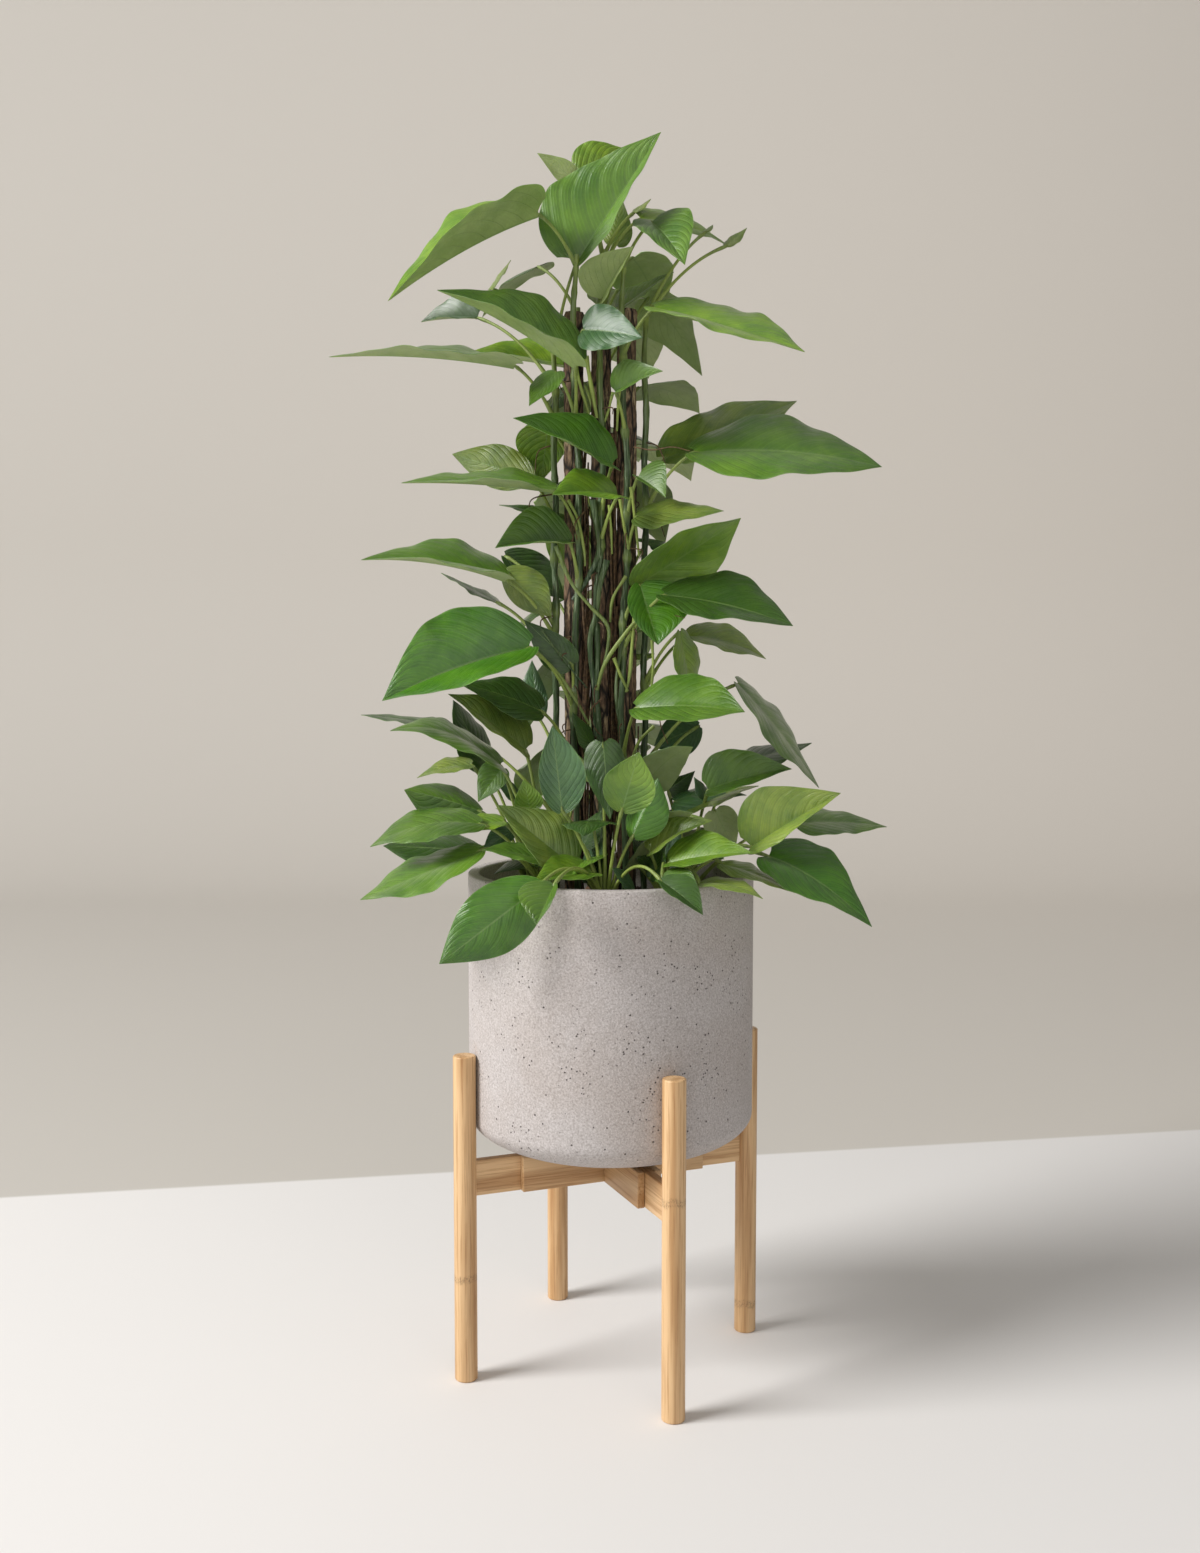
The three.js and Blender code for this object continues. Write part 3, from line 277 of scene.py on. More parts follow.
# Stalks and side stems in front of the stakes: radius in millimetres, age from 0 old to 1 young,
# depth, and the places they pass in the picture
CLIMBERS = [
    (2.0, 0.85, -26, [(575, 362), (581, 388), (589, 414)]),
    (2.6, 0.90, -27, [(586, 356), (591, 385), (597, 418)]),
    (1.7, 0.85, -27, [(620, 388), (618, 408), (617, 431)]),
    (1.6, 0.80, -26, [(613, 392), (608, 412), (604, 424)]),
    (1.8, 0.75, -27, [(568, 500), (578, 520), (584, 550), (585, 566)]),
    (1.5, 0.80, -28, [(609, 505), (611, 528), (612, 554)]),
    (1.8, 0.80, -29, [(620, 499), (624, 526), (629, 549)]),
    (1.9, 0.85, -28, [(631, 487), (635, 520), (639, 556)]),
    (3.6, 0.02, -24, [(593, 500), (597, 530), (599, 552), (588, 578), (573, 600)]),
    (3.3, 0.02, -25, [(607, 560), (600, 585), (597, 610), (590, 642), (594, 690), (596, 736)]),
    (2.4, 0.35, -29, [(556, 546), (571, 582), (590, 606), (607, 625), (608, 646), (599, 684)]),
    (2.6, 0.60, -31, [(668, 600), (640, 617), (616, 646), (603, 668), (597, 690)]),
    (2.2, 0.75, -29, [(635, 612), (632, 645), (630, 672), (626, 692)]),
    (1.9, 0.70, -30, [(614, 658), (620, 674), (628, 691)]),
    (2.1, 0.55, -32, [(533, 650), (556, 671), (574, 697), (589, 724)]),
    (1.2, 0.05, -30, [(539, 626), (560, 655), (587, 688)]),
    (1.9, 0.60, -28, [(626, 576), (613, 598), (610, 622)]),
    (1.8, 0.70, -26, [(652, 640), (653, 668), (650, 700)]),
    (2.0, 0.75, -34, [(654, 726), (640, 740), (632, 758)]),
    (2.3, 0.10, -24, [(622, 640), (616, 690), (622, 740)]),
]

# Roots that cling along the gaps between the stakes: place across, foot and top
CLINGING_GAPS = [
    (-25, 520, 860), (3, 520, 900), (-25, 700, 1000), (3, 690, 1040), (27, 520, 700), (-50, 500, 720),
]
CLINGING_IN_A_GAP = 8

# Low leaves inside the mass, seen only through its gaps
INNER_COUNT = 20
INNER_SEED = 11
INNER_REACH = (58, 88)
INNER_HEIGHTS = (545, 640)
INNER_LENGTH = (58, 84)
INNER_TONES = ["dark", "teal", "dark", "jade"]

# Floor edge, lights and surroundings
FLOOR_LINE_SLOPE = 0.1785
LIGHTS = [
    ("window light", (-4.95, -1.95, 4.1), 3.0, 498, (1.0, 0.98, 0.965)),
    ("fill light", (0.9, -3.2, 1.6), 2.5, 14, (1.0, 0.97, 0.94)),
]
WORLD_TINT = (0.75, 0.72, 0.69)
WORLD_STRENGTH = 0.42

# Leaf colours, linear, and the seed of what varies from blade to blade
BLADE_SEED = 40
TONES = {
    "bright": (0.170, 0.325, 0.028),
    "pale": (0.185, 0.265, 0.055),
    "lime": (0.190, 0.335, 0.020),
    "jade": (0.102, 0.222, 0.024),
    "olive": (0.200, 0.300, 0.056),
    "dark": (0.038, 0.105, 0.012),
    "teal": (0.064, 0.160, 0.060),
    "gloss": (0.070, 0.215, 0.010),
}
LEAF_GLOW = {
    "subsurface_weight": 0.45, "subsurface_scale": 0.0011, "subsurface_radius": (0.8, 1.0, 0.25),
}


# Where the leaves and stems are


def seen(u, v, y):
    """The point at depth y that shows at u, v of the picture."""
    across = (u - PICTURE_MIDDLE[0]) / FOCAL
    up = (PICTURE_MIDDLE[1] - v) / FOCAL
    cos, sin = math.cos(EYE_PITCH), math.sin(EYE_PITCH)
    ray = Vector((across, cos + up * sin, up * cos - sin))
    return EYE + ray * ((y - EYE.y) / ray.y)


def leaf_from(base, tip, rise, halves, phase, tone, skew=HEART_SKEW):
    """A leaf as placed: base, tip, top of the midrib's arch, and a vector for each half."""
    along = tip - base
    length = along.length
    along.normalize()
    arch = base.lerp(tip, 0.5) + Vector((0, 0, 2 * rise))
    upper, lower = halves
    face = along.cross(upper - lower).normalized()
    if face.z < 0:
        face.negate()
    return SimpleNamespace(
        base=base, tip=tip, arch=arch, along=along, length=length,
        upper=upper, lower=lower, face=face, phase=phase, tone=tone, skew=skew, shine=1,
    )


def seen_leaf(row, index, shift=0):
    """A leaf from its row, moved in depth by the shift."""
    base_at, tip_at, depth, wide, rise, tone, *traits = row
    base, tip = seen(*base_at, depth[0] + shift), seen(*tip_at, depth[1] + shift)
    along = (tip - base).normalized()
    sideways = Vector((tip_at[1] - base_at[1], 0, tip_at[0] - base_at[0])).normalized()
    if sideways.z < 0:
        sideways.negate()
    away = along.cross(sideways).normalized()
    if away.y < 0:
        away.negate()
    unit = (base.y - EYE.y) / FOCAL
    half_width = HALF_WIDTH_SHARE * (tip - base).length
    leans = next((LEANS[trait] for trait in traits if trait in LEANS), LEVEL)
    halves = []
    for width, sign, lean in zip(wide, (1, -1), leans):
        shown = width * unit
        hidden = lean * math.sqrt(max(half_width**2 - shown**2, 0))
        halves.append(sideways * sign * shown + away * hidden)
    leaf = leaf_from(base, tip, rise, halves, (index * 0.37) % 1, tone)
    droop = DROOP_SHARE * leaf.length * leaf.face.dot(sideways)
    lifted = [half + sideways * droop for half in halves]
    skew = FULL_SKEW if "full" in traits else HEART_SKEW
    leaf = leaf_from(base, tip, rise, lifted, leaf.phase, tone, skew)
    leaf.shine = -1 if "turned" in traits else 1
    return leaf


def hidden_leaf(azimuth, height, reach, length, fall, roll, phase, tone):
    """A leaf by its direction round the stakes, its base's height and reach, its length and its fall."""
    angle = math.radians(azimuth)
    outward = Vector((math.cos(angle), math.sin(angle), 0))
    base = Vector((POLE_X, 0, height)) + outward * reach
    run = min(math.sqrt(length**2 - fall**2), HIDDEN_REACH - reach)
    tip = base + outward * run - Vector((0, 0, fall))
    across = outward.cross(Vector((0, 0, 1)))
    across = across * math.cos(roll) + outward.cross(across) * math.sin(roll)
    span = (tip - base).length
    half = across * HALF_WIDTH_SHARE * span
    return leaf_from(base, tip, span * HIDDEN_RISE_SHARE, (half, -half), phase, tone)


def hidden_tries():
    """For each leaf round the back, the tries of it from the same seeded draws as the solids."""
    state = HIDDEN_SEED

    def draw():
        nonlocal state
        state = (state * 1664525 + 1013904223) % 4294967296
        return state / 4294967296

    low, high = HIDDEN_HEIGHTS
    for i in range(HIDDEN_COUNT):
        tries = []
        for _attempt in range(HIDDEN_TRIES):
            up = (i + draw()) / HIDDEN_COUNT
            fan = ((i * GOLDEN_ANGLE / 360) % 1) * 2 - 1
            shortest, longest = HIDDEN_LENGTH
            length = shortest + draw() * (longest - shortest) * (1.1 - 0.5 * up)
            azimuth = 90 + HIDDEN_FAN * (fan * 0.75 + (draw() - 0.5) * 0.5)
            reach = HIDDEN_BASE_REACH[0] + draw() * (HIDDEN_BASE_REACH[1] - HIDDEN_BASE_REACH[0])
            fall = length * (0.1 + 0.7 * draw())
            roll = (draw() - 0.5) * 0.9
            height = low + up * (high - low)
            tone = HIDDEN_TONES[i % len(HIDDEN_TONES)]
            tries.append(hidden_leaf(azimuth, height, reach, length, fall, roll, draw(), tone))
        yield tries


def inner_leaves():
    """Short leaves that stand or lean inside the low mass."""
    chance = np.random.default_rng(INNER_SEED)
    leaves = []
    for i in range(INNER_COUNT):
        azimuth = i * GOLDEN_ANGLE + chance.uniform(-15, 15)
        length = chance.uniform(*INNER_LENGTH)
        fall = length * chance.uniform(-0.8, 0.5)
        place = (chance.uniform(*INNER_HEIGHTS), chance.uniform(*INNER_REACH))
        tone = INNER_TONES[i % len(INNER_TONES)]
        roll = chance.uniform(-0.6, 0.6)
        leaves.append(hidden_leaf(azimuth, *place, length, fall, roll, chance.random(), tone))
    return leaves


def leafy_corners():
    """The corners of the stems' and shoots' solids, to look up which leaves stand where."""
    corners = []
    for name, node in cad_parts.items():
        if name.startswith(("vine_", "shoot_")):
            corners += [node.matrix_world @ vertex.co for vertex in node.data.vertices]
    tree = KDTree(len(corners))
    for i, corner in enumerate(corners):
        tree.insert(corner, i)
    tree.balance()
    return tree


def placed_leaves():
    """Every leaf where its solid stands: of the ways it may lie, the one whose tip a solid shares."""
    tree = leafy_corners()

    def miss(leaf):
        return tree.find(leaf.tip * MM)[2]

    leaves = [hidden_leaf(*HINDMOST_LEAF, "jade")]
    for index, row in enumerate(LEAF_ROWS):
        leaves.append(min((seen_leaf(row, index, shift) for shift in DEPTH_SHIFTS), key=miss))
    nearest = [min(tries, key=miss) for tries in hidden_tries()]
    return leaves + [leaf for leaf in nearest if miss(leaf) < STANDS_AT]


def stem_point(stem, z):
    """Where a climbing stem's middle line is at height z."""
    x, y, _top = stem
    wander = 0 if z < SOIL_TOP + 20 else STEM_WANDER * math.sin((z - SOIL_TOP - 20) / 62 + x)
    outward = Vector((x - POLE_X, y * 2)).normalized()
    return Vector((x - outward.y * wander, y + outward.x * wander, z))


def smooth_line(points, steps):
    """Points along a curve that runs smoothly through the given ones."""
    ends = [points[0] * 2 - points[1], *points, points[-1] * 2 - points[-2]]
    line = []
    for a, b, c, d in zip(ends, ends[1:], ends[2:], ends[3:]):
        for i in range(steps):
            t = i / steps
            line.append(0.5 * ((2 * b) + (c - a) * t + (2 * a - 5 * b + 4 * c - d) * t**2
                               + (3 * b - a - 3 * c + d) * t**3))
    return [*line, points[-1]]


def stem_line(stem):
    """The climbing stem's middle line, from under the soil to its top."""
    top = stem[2]
    heights = [SOIL_TOP - STEM_STEP / 2, SOIL_TOP + 15]
    heights += list(np.arange(SOIL_TOP + 15 + STEM_STEP, top - STEM_STEP / 2, STEM_STEP))
    return smooth_line([stem_point(stem, z) for z in [*heights, top]], 14)


def plant_nodes():
    """Every stem and shoot that leaves grow on, by the name of its solid."""
    nodes = []
    for name, stem in STEMS.items():
        angle = math.atan2(stem[1] * 1.3, stem[0] - POLE_X)
        nodes.append(SimpleNamespace(name=f"vine_{name}", stem=stem, crown=None, angle=angle, leaves=[]))
    for name, degrees in SHOOT_ANGLES.items():
        angle = math.radians(degrees)
        crown = Vector((SHOOT_CIRCLE * math.cos(angle), SHOOT_CIRCLE * math.sin(angle),
                        SOIL_TOP + SHOOT_HEIGHT - 5))
        nodes.append(SimpleNamespace(name=f"shoot_{name}", stem=None, crown=crown, angle=angle, leaves=[]))
    return nodes


def node_for(leaf, nodes):
    """The nearest stem or shoot by direction that reaches the leaf's height."""
    low = leaf.base.z < SHOOT_LEAF_TOP
    angle = math.atan2(leaf.base.y, leaf.base.x - (0 if low else POLE_X))

    def miss(node):
        turn = node.angle - angle
        short = max(0, leaf.base.z - 60 - node.stem[2]) / 60 if node.stem else 0
        return abs(math.atan2(math.sin(turn), math.cos(turn))) + short

    return min((node for node in nodes if (node.crown if low else node.stem)), key=miss)


def stalk_start(leaf, node):
    """Where a leaf's stalk leaves its shoot or climbing stem."""
    if node.crown:
        outward = leaf.base - node.crown
        outward.z = 0
        return node.crown + outward.normalized() * SHOOT_RADIUS / 3
    reach = math.hypot(leaf.base.x - node.stem[0], leaf.base.y - node.stem[1])
    height = leaf.base.z - 30 - 0.55 * reach
    return stem_point(node.stem, min(max(height, SOIL_TOP + 25), node.stem[2] - 6))


def stalk_line(start, leaf, steps=18):
    """The stalk leaves its stem, rises and bows over to the base of the blade."""
    span = leaf.base - start
    bend = start + span * STALK_BEND_AT
    bend.z += STALK_RISE_SHARE * span.length
    if math.hypot(leaf.base.x, leaf.base.y) > POT_RADIUS - 2 * POT_WALL:
        bend.z = max(bend.z, RIM_HEIGHT + STALK_OVER_RIM)
    shares = [i / steps for i in range(steps + 1)]
    return [start * (1 - k) ** 2 + bend * 2 * k * (1 - k) + leaf.base * k**2 for k in shares]


def outline(s, skew):
    """Half-width of the blade: 0 at the base, round to its widest, then drawn out to the tip."""
    swell = np.maximum(np.sin(np.pi * np.clip(s, 0, 1) ** skew), 0)
    return np.where(np.clip(s, 0, 1) ** skew < 0.5, swell**0.6, swell)


def blade_points(leaf, s, t):
    """Middle surface of the blade: s from base to tip, t across from -1 (upper half) to 1."""
    parts = (leaf.base, leaf.tip, leaf.arch, leaf.along, leaf.upper, leaf.lower, leaf.face)
    base, tip, arch, along, upper, lower, face = (np.array(part) for part in parts)
    reach, side = np.abs(t), np.sign(t)
    width = outline(s, leaf.skew)
    lobe = LOBE_SHARE * leaf.length * reach**1.6 * np.maximum(0, 1 - s / 0.3) ** 2
    wave = np.sin(2 * np.pi * (1.6 * s + leaf.phase + 0.3 * side))
    lift = leaf.length * width * reach**2 * (WAVE_SHARE * wave - DROOP_SHARE)
    ruffle = np.sin(2 * np.pi * (4.3 * s + 2.6 * leaf.phase + 0.4 * side))
    lift += leaf.length * RUFFLE_SHARE * width * reach**3 * ruffle
    lift -= leaf.length * GROOVE_SHARE * np.exp(-((t / 0.09) ** 2)) * (1 - s)
    vein = np.abs(np.sin(np.pi * VEIN_PAIRS * (s - VEIN_LEAN * reach - VEIN_BEND * reach**2)))
    lift += leaf.length * QUILT_SHARE * vein**0.7 * 4 * reach * (1 - reach) * (1 - s)
    s, t, reach, width, lobe, lift = (a[..., None] for a in (s, t, reach, width, lobe, lift))
    middle = base * (1 - s) ** 2 + arch * 2 * s * (1 - s) + tip * s**2
    return middle + np.where(t < 0, upper, lower) * reach * width - along * lobe + face * lift


def blade_normals(leaf, s, t, step=0.01):
    """Unit vectors out of the blade's glossy side."""
    s = np.clip(s, 0.012, 0.96)
    ahead = blade_points(leaf, s + step, t) - blade_points(leaf, s - step, t)
    right = np.minimum(t + step, 1)
    left = np.maximum(t - step, -1)
    across = blade_points(leaf, s, right) - blade_points(leaf, s, left)
    normal = np.cross(ahead, across)
    normal /= np.maximum(np.linalg.norm(normal, axis=-1, keepdims=True), 1e-9)
    return normal * np.where(normal @ np.array(leaf.face) * leaf.shine < 0, -1, 1)[..., None]


# Objects and meshes


def link(name, mesh, materials=()):
    """A new object in the scene."""
    made = bpy.data.objects.new(name, mesh)
    bpy.context.scene.collection.objects.link(made)
    for material in materials:
        mesh.materials.append(material)
    return made


def new_mesh(name, corners, faces, edges=()):
    """A mesh from its corners, in metres, and faces or bare edges."""
    mesh = bpy.data.meshes.new(name)
    mesh.from_pydata([tuple(corner) for corner in corners], list(edges), faces)
    mesh.update()
    return mesh


def set_attribute(mesh, name, kind, values, field):
    """A value for each vertex, which materials read by name."""
    attribute = mesh.attributes.new(name, kind, "POINT")
    attribute.data.foreach_set(field, np.asarray(values, np.float32).ravel())


def set_uv(mesh, corner_uv):
    """A UV map from one pair for each vertex."""
    index = np.empty(len(mesh.loops), np.int32)
    mesh.loops.foreach_get("vertex_index", index)
    layer = mesh.uv_layers.new(name="blade")
    layer.data.foreach_set("uv", np.asarray(corner_uv, np.float32)[index].ravel())


def set_smooth(mesh, degrees):
    """Smooth shading, with edges sharper than so many degrees left crisp."""
    mesh.shade_smooth()
    mesh.set_sharp_from_angle(angle=math.radians(degrees))


def plain_mesh(obj):
    """Puts the evaluated shape in place of the object's mesh and takes its modifiers off."""
    depsgraph = bpy.context.evaluated_depsgraph_get()
    mesh = bpy.data.meshes.new_from_object(
        obj.evaluated_get(depsgraph), preserve_all_data_layers=True, depsgraph=depsgraph
    )
    if not mesh.polygons:
        raise RuntimeError(f"{obj.name} came out empty")
    obj.modifiers.clear()
    obj.data = mesh
    return obj


def joined(objects, name):
    """Several objects as one mesh."""
    first = objects[0]
    with bpy.context.temp_override(
        active_object=first, selected_objects=objects, selected_editable_objects=objects
    ):
        bpy.ops.object.join()
    first.name = name
    first.data.name = name
    return first


def settle(obj, body, slot, *nodes):
    """Hands a finished piece to its body and hides the solids that it stands for. The slot is not used."""
    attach(obj, body)
    if nodes:
        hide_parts(*nodes)


def blade_grid(length):
    """Steps along and across the blade, closer together at the base, the midrib and the edges."""
    _length, long, wide = next(grid for grid in BLADE_GRIDS if length >= grid[0])
    along = 0.004 + 0.984 * np.linspace(0, 1, long) ** 1.3
    half = np.linspace(0, 1, wide // 2 + 1)[1:]
    half = 0.5 * half + 0.5 * np.sin(half * np.pi / 2) ** 1.4
    across = np.concatenate([-half[::-1], [0], half])
    return np.meshgrid(along, across, indexing="ij")


def blade_shell(leaf, thickness):
    """One blade as a closed thin shell: corners, upper faces, under faces and a UV pair for each corner."""
    s, t = blade_grid(leaf.length)
    rows, columns = s.shape
    middle = blade_points(leaf, s, t)
    normal = blade_normals(leaf, s, t)
    edge = 1 - 0.55 * np.abs(t) ** 6
    rib = np.exp(-((t / 0.07) ** 2)) * (1 - s) ** 0.7 * RIB_SHARE * leaf.length
    half = thickness / 2 * edge
    tip = np.array(leaf.tip)
    tip_normal = normal[-1, columns // 2]
    top = (middle + normal * half[..., None]).reshape(-1, 3)
    under = (middle - normal * (half + rib)[..., None]).reshape(-1, 3)
    corners = np.concatenate([top, [tip + tip_normal * 0.15], under, [tip - tip_normal * 0.15]])
    count = rows * columns + 1
    pairs = np.concatenate([np.stack([s, (t + 1) / 2], -1).reshape(-1, 2), [[1, 0.5]]])

    def at(row, column):
        return row * columns + column

    sheet = [
        (at(r, c), at(r + 1, c), at(r + 1, c + 1), at(r, c + 1))
        for r in range(rows - 1)
        for c in range(columns - 1)
    ]
    sheet += [(at(rows - 1, c), count - 1, at(rows - 1, c + 1)) for c in range(columns - 1)]
    rim = [at(0, c) for c in range(columns)] + [at(r, columns - 1) for r in range(1, rows)] + [count - 1]
    rim += [at(r, 0) for r in range(rows - 1, 0, -1)]
    a, b, c = (corners[k] for k in (at(1, 1), at(2, 1), at(2, 2)))
    upward = np.cross(b - a, c - a) @ np.array(leaf.face) * leaf.shine > 0
    upper = sheet if upward else [face[::-1] for face in sheet]
    lower = [tuple(k + count for k in face[::-1]) for face in upper]
    walls = []
    for first, second in zip(rim, rim[1:] + rim[:1]):
        wall = (first, second, second + count, first + count)
        walls.append(wall[::-1] if upward else wall)
    return corners, upper + walls, lower, np.concatenate([pairs, pairs])


def blades_mesh(name, leaves, thickness, chance):
    """All the blades of one stem in one mesh, with their colours as attributes."""
    corners, faces, slots, pairs, tones, moods = [], [], [], [], [], []
    for leaf in leaves:
        start = sum(len(block) for block in corners)
        shell, upper, lower, uv = blade_shell(leaf, thickness)
        corners.append(shell)
        pairs.append(uv)
        faces += [tuple(k + start for k in face) for face in upper + lower]
        slots += [0] * len(upper) + [1] * len(lower)
        shade = 1 + 0.24 * (chance.random() - 0.5)
        tones += [(*(shade * c for c in TONES[leaf.tone]), 1)] * len(shell)
        moods += [chance.random()] * len(shell)
    mesh = new_mesh(name, np.concatenate(corners) * MM, faces)
    mesh.polygons.foreach_set("material_index", slots)
    set_uv(mesh, np.concatenate(pairs))
    set_attribute(mesh, "tone", "FLOAT_COLOR", tones, "color")
    set_attribute(mesh, "mood", "FLOAT", moods, "value")
    set_smooth(mesh, 50)
    return mesh


def threads_mesh(name, lines):
    """Lines as bare edges, each with a radius and a tint for every point."""
    corners, edges, sizes, tints = [], [], [], []
    for points, radii, tint in lines:
        start = len(corners)
        corners += [point * MM for point in points]
        edges += [(start + i, start + i + 1) for i in range(len(points) - 1)]
        sizes += [radius * MM for radius in radii]
        tints += list(tint)
    mesh = new_mesh(name, corners, [], edges)
    set_attribute(mesh, "stalk_radius", "FLOAT", sizes, "value")
    set_attribute(mesh, "tint", "FLOAT", tints, "value")
    return mesh


# Materials


class Nodes:
    """A node tree under construction: values or sockets go in, sockets come out."""

    def __init__(self, tree):
        self.tree = tree

    def feed(self, socket, value):
        if isinstance(value, bpy.types.NodeSocket):
            self.tree.links.new(value, socket)
        elif value is not None:
            socket.default_value = value

    def node(self, kind, inputs=None, **settings):
        made = self.tree.nodes.new(kind)
        for key, value in settings.items():
            setattr(made, key, value)
        for key, value in (inputs or {}).items():
            self.feed(made.inputs[key], value)
        return made


class Finish(Nodes):
    """A material of nodes on one principled shader."""

    def __init__(self, name, **uniform):
        self.material = bpy.data.materials.new(name)
        self.material.use_nodes = True
        super().__init__(self.material.node_tree)
        self.shader = self.tree.nodes["Principled BSDF"]
        for key, value in uniform.items():
            self.shader.inputs[key.replace("_", " ").title()].default_value = value
        self.place = self.node("ShaderNodeTexCoord").outputs["Object"]

    def math(self, operation, *values):
        return self.node("ShaderNodeMath", dict(enumerate(values)), operation=operation).outputs[0]

    def ramp(self, value, low, high, to_low=0.0, to_high=1.0):
        """value from low to high, eased, as to_low to to_high."""
        inputs = {"Value": value, "From Min": low, "From Max": high, "To Min": to_low, "To Max": to_high}
        return self.node("ShaderNodeMapRange", inputs, interpolation_type="SMOOTHSTEP").outputs[0]

    def mix(self, share, first, second, blend="MIX"):
        inputs = {0: share, 6: colour(first), 7: colour(second)}
        return self.node("ShaderNodeMix", inputs, data_type="RGBA", blend_type=blend).outputs[2]

    def times(self, first, second):
        return self.math("MULTIPLY", first, second)

    def tinted(self, first, factor):
        return self.mix(1.0, first, factor, "MULTIPLY")

    def noise(self, place, scale, detail=2.0, roughness=0.5, distortion=0.0):
        inputs = {"Vector": place, "Scale": scale, "Detail": detail, "Roughness": roughness,
                  "Distortion": distortion}
        return self.node("ShaderNodeTexNoise", inputs).outputs[0]

    def cells(self, place, scale, feature="F1"):
        inputs = {"Vector": place, "Scale": scale}
        return self.node("ShaderNodeTexVoronoi", inputs, feature=feature).outputs["Distance"]

    def stretch(self, place, scale):
        return self.node("ShaderNodeMapping", {"Vector": place, "Scale": scale}).outputs[0]

    def attribute(self, name, output="Fac"):
        return self.node("ShaderNodeAttribute", attribute_name=name).outputs[output]

    def split(self, vector):
        return self.node("ShaderNodeSeparateXYZ", {"Vector": vector}).outputs

    def bump(self, height, distance, strength):
        inputs = {"Height": height, "Distance": distance, "Strength": strength}
        return self.node("ShaderNodeBump", inputs).outputs[0]

    def done(self, base_color, roughness, normal=None):
        """The finished material."""
        self.feed(self.shader.inputs["Base Color"], colour(base_color))
        self.feed(self.shader.inputs["Roughness"], roughness)
        self.feed(self.shader.inputs["Normal"], normal)
        return self.material


def colour(value):
    """A bare red, green, blue with its full alpha; a socket as it is."""
    return value if isinstance(value, bpy.types.NodeSocket) else (*tuple(value)[:3], 1)


def leaf_veins(finish):
    """Masks of the midrib, the side veins and the edge from the blade's own map."""
    pair = finish.split(finish.node("ShaderNodeUVMap", uv_map="blade").outputs[0])
    reach = finish.math("ABSOLUTE", finish.math("MULTIPLY_ADD", pair[1], 2.0, -1.0))
    rib = finish.ramp(reach, 0.012, 0.04, 1.0, 0.0)
    lean = finish.times(reach, finish.math("MULTIPLY_ADD", reach, VEIN_BEND, VEIN_LEAN))
    uneven = finish.math("MULTIPLY_ADD", finish.noise(finish.place, 14, 2), 0.05, pair[0])
    phase = finish.times(finish.math("SUBTRACT", uneven, lean), math.pi * VEIN_PAIRS)
    ridge = finish.math("ABSOLUTE", finish.math("SINE", phase))
    vein = finish.ramp(ridge, 0.0, 0.16, 1.0, 0.0)
    fade = finish.times(vein, finish.ramp(reach, 0.75, 0.98, 1.0, 0.0))
    edge = finish.ramp(reach, 0.95, 1.0)
    thread = finish.math("ABSOLUTE", finish.math("SINE", finish.times(phase, 4.0)))
    return SimpleNamespace(rib=rib, ridge=ridge, vein=fade, edge=edge, thread=thread)


def upper_leaf_finish(look):
    """Glossy green upper face: paler midrib and edge, arching side veins between raised fields, mottling."""
    finish = Finish("leaf upper face", coat_weight=look.gloss * 0.7, coat_roughness=0.28, **LEAF_GLOW)
    veins = leaf_veins(finish)
    tone = finish.attribute("tone", "Color")
    mood = finish.attribute("mood")
    patch = finish.noise(finish.place, 26, 4, 0.65)
    shade = finish.ramp(finish.math("MULTIPLY_ADD", mood, 0.10, patch), 0.34, 0.76)
    green = finish.mix(shade, finish.tinted(tone, (0.58, 0.68, 0.60)),
                       finish.tinted(tone, (1.35, 1.20, 1.0)))
    green = finish.mix(finish.times(veins.thread, 0.30), green, finish.tinted(tone, (0.60, 0.66, 0.6)))
    green = finish.mix(finish.times(veins.vein, 0.18), green, finish.tinted(tone, (2.0, 1.65, 1.6)))
    green = finish.mix(finish.times(veins.rib, 0.45), green, look.rib_colour)
    green = finish.mix(finish.times(veins.edge, 0.30), green, look.rib_colour)
    polish = 0.2 * look.gloss
    rough = finish.ramp(finish.noise(finish.place, 60, 3), 0.3, 0.75, 0.40 - polish, 0.62 - polish)
    height = finish.math("MULTIPLY_ADD", veins.thread, -0.25, finish.math("POWER", veins.ridge, 0.6))
    height = finish.math("MULTIPLY_ADD", finish.noise(finish.place, 330, 2), 0.5, height)
    return finish.done(green, rough, finish.bump(height, 0.0009, 0.65))


def under_leaf_finish(look):
    """Paler matt under face with a raised midrib and veins."""
    finish = Finish("leaf under face", **LEAF_GLOW)
    veins = leaf_veins(finish)
    tone = finish.attribute("tone", "Color")
    pale = finish.mix(0.58, tone, look.under_colour)
    patch = finish.noise(finish.place, 36, 4, 0.65)
    green = finish.mix(finish.ramp(patch, 0.3, 0.72), finish.tinted(pale, (0.70, 0.76, 0.66)), pale)
    green = finish.mix(finish.times(veins.thread, 0.2), green, finish.tinted(pale, (0.68, 0.72, 0.66)))
    green = finish.mix(finish.times(veins.vein, 0.35), green, look.rib_colour)
    green = finish.mix(finish.times(veins.rib, 0.6), green, look.rib_colour)
    height = finish.math("ADD", veins.vein, finish.noise(finish.place, 330, 2))
    return finish.done(green, 0.5, finish.bump(height, 0.0009, 0.6))


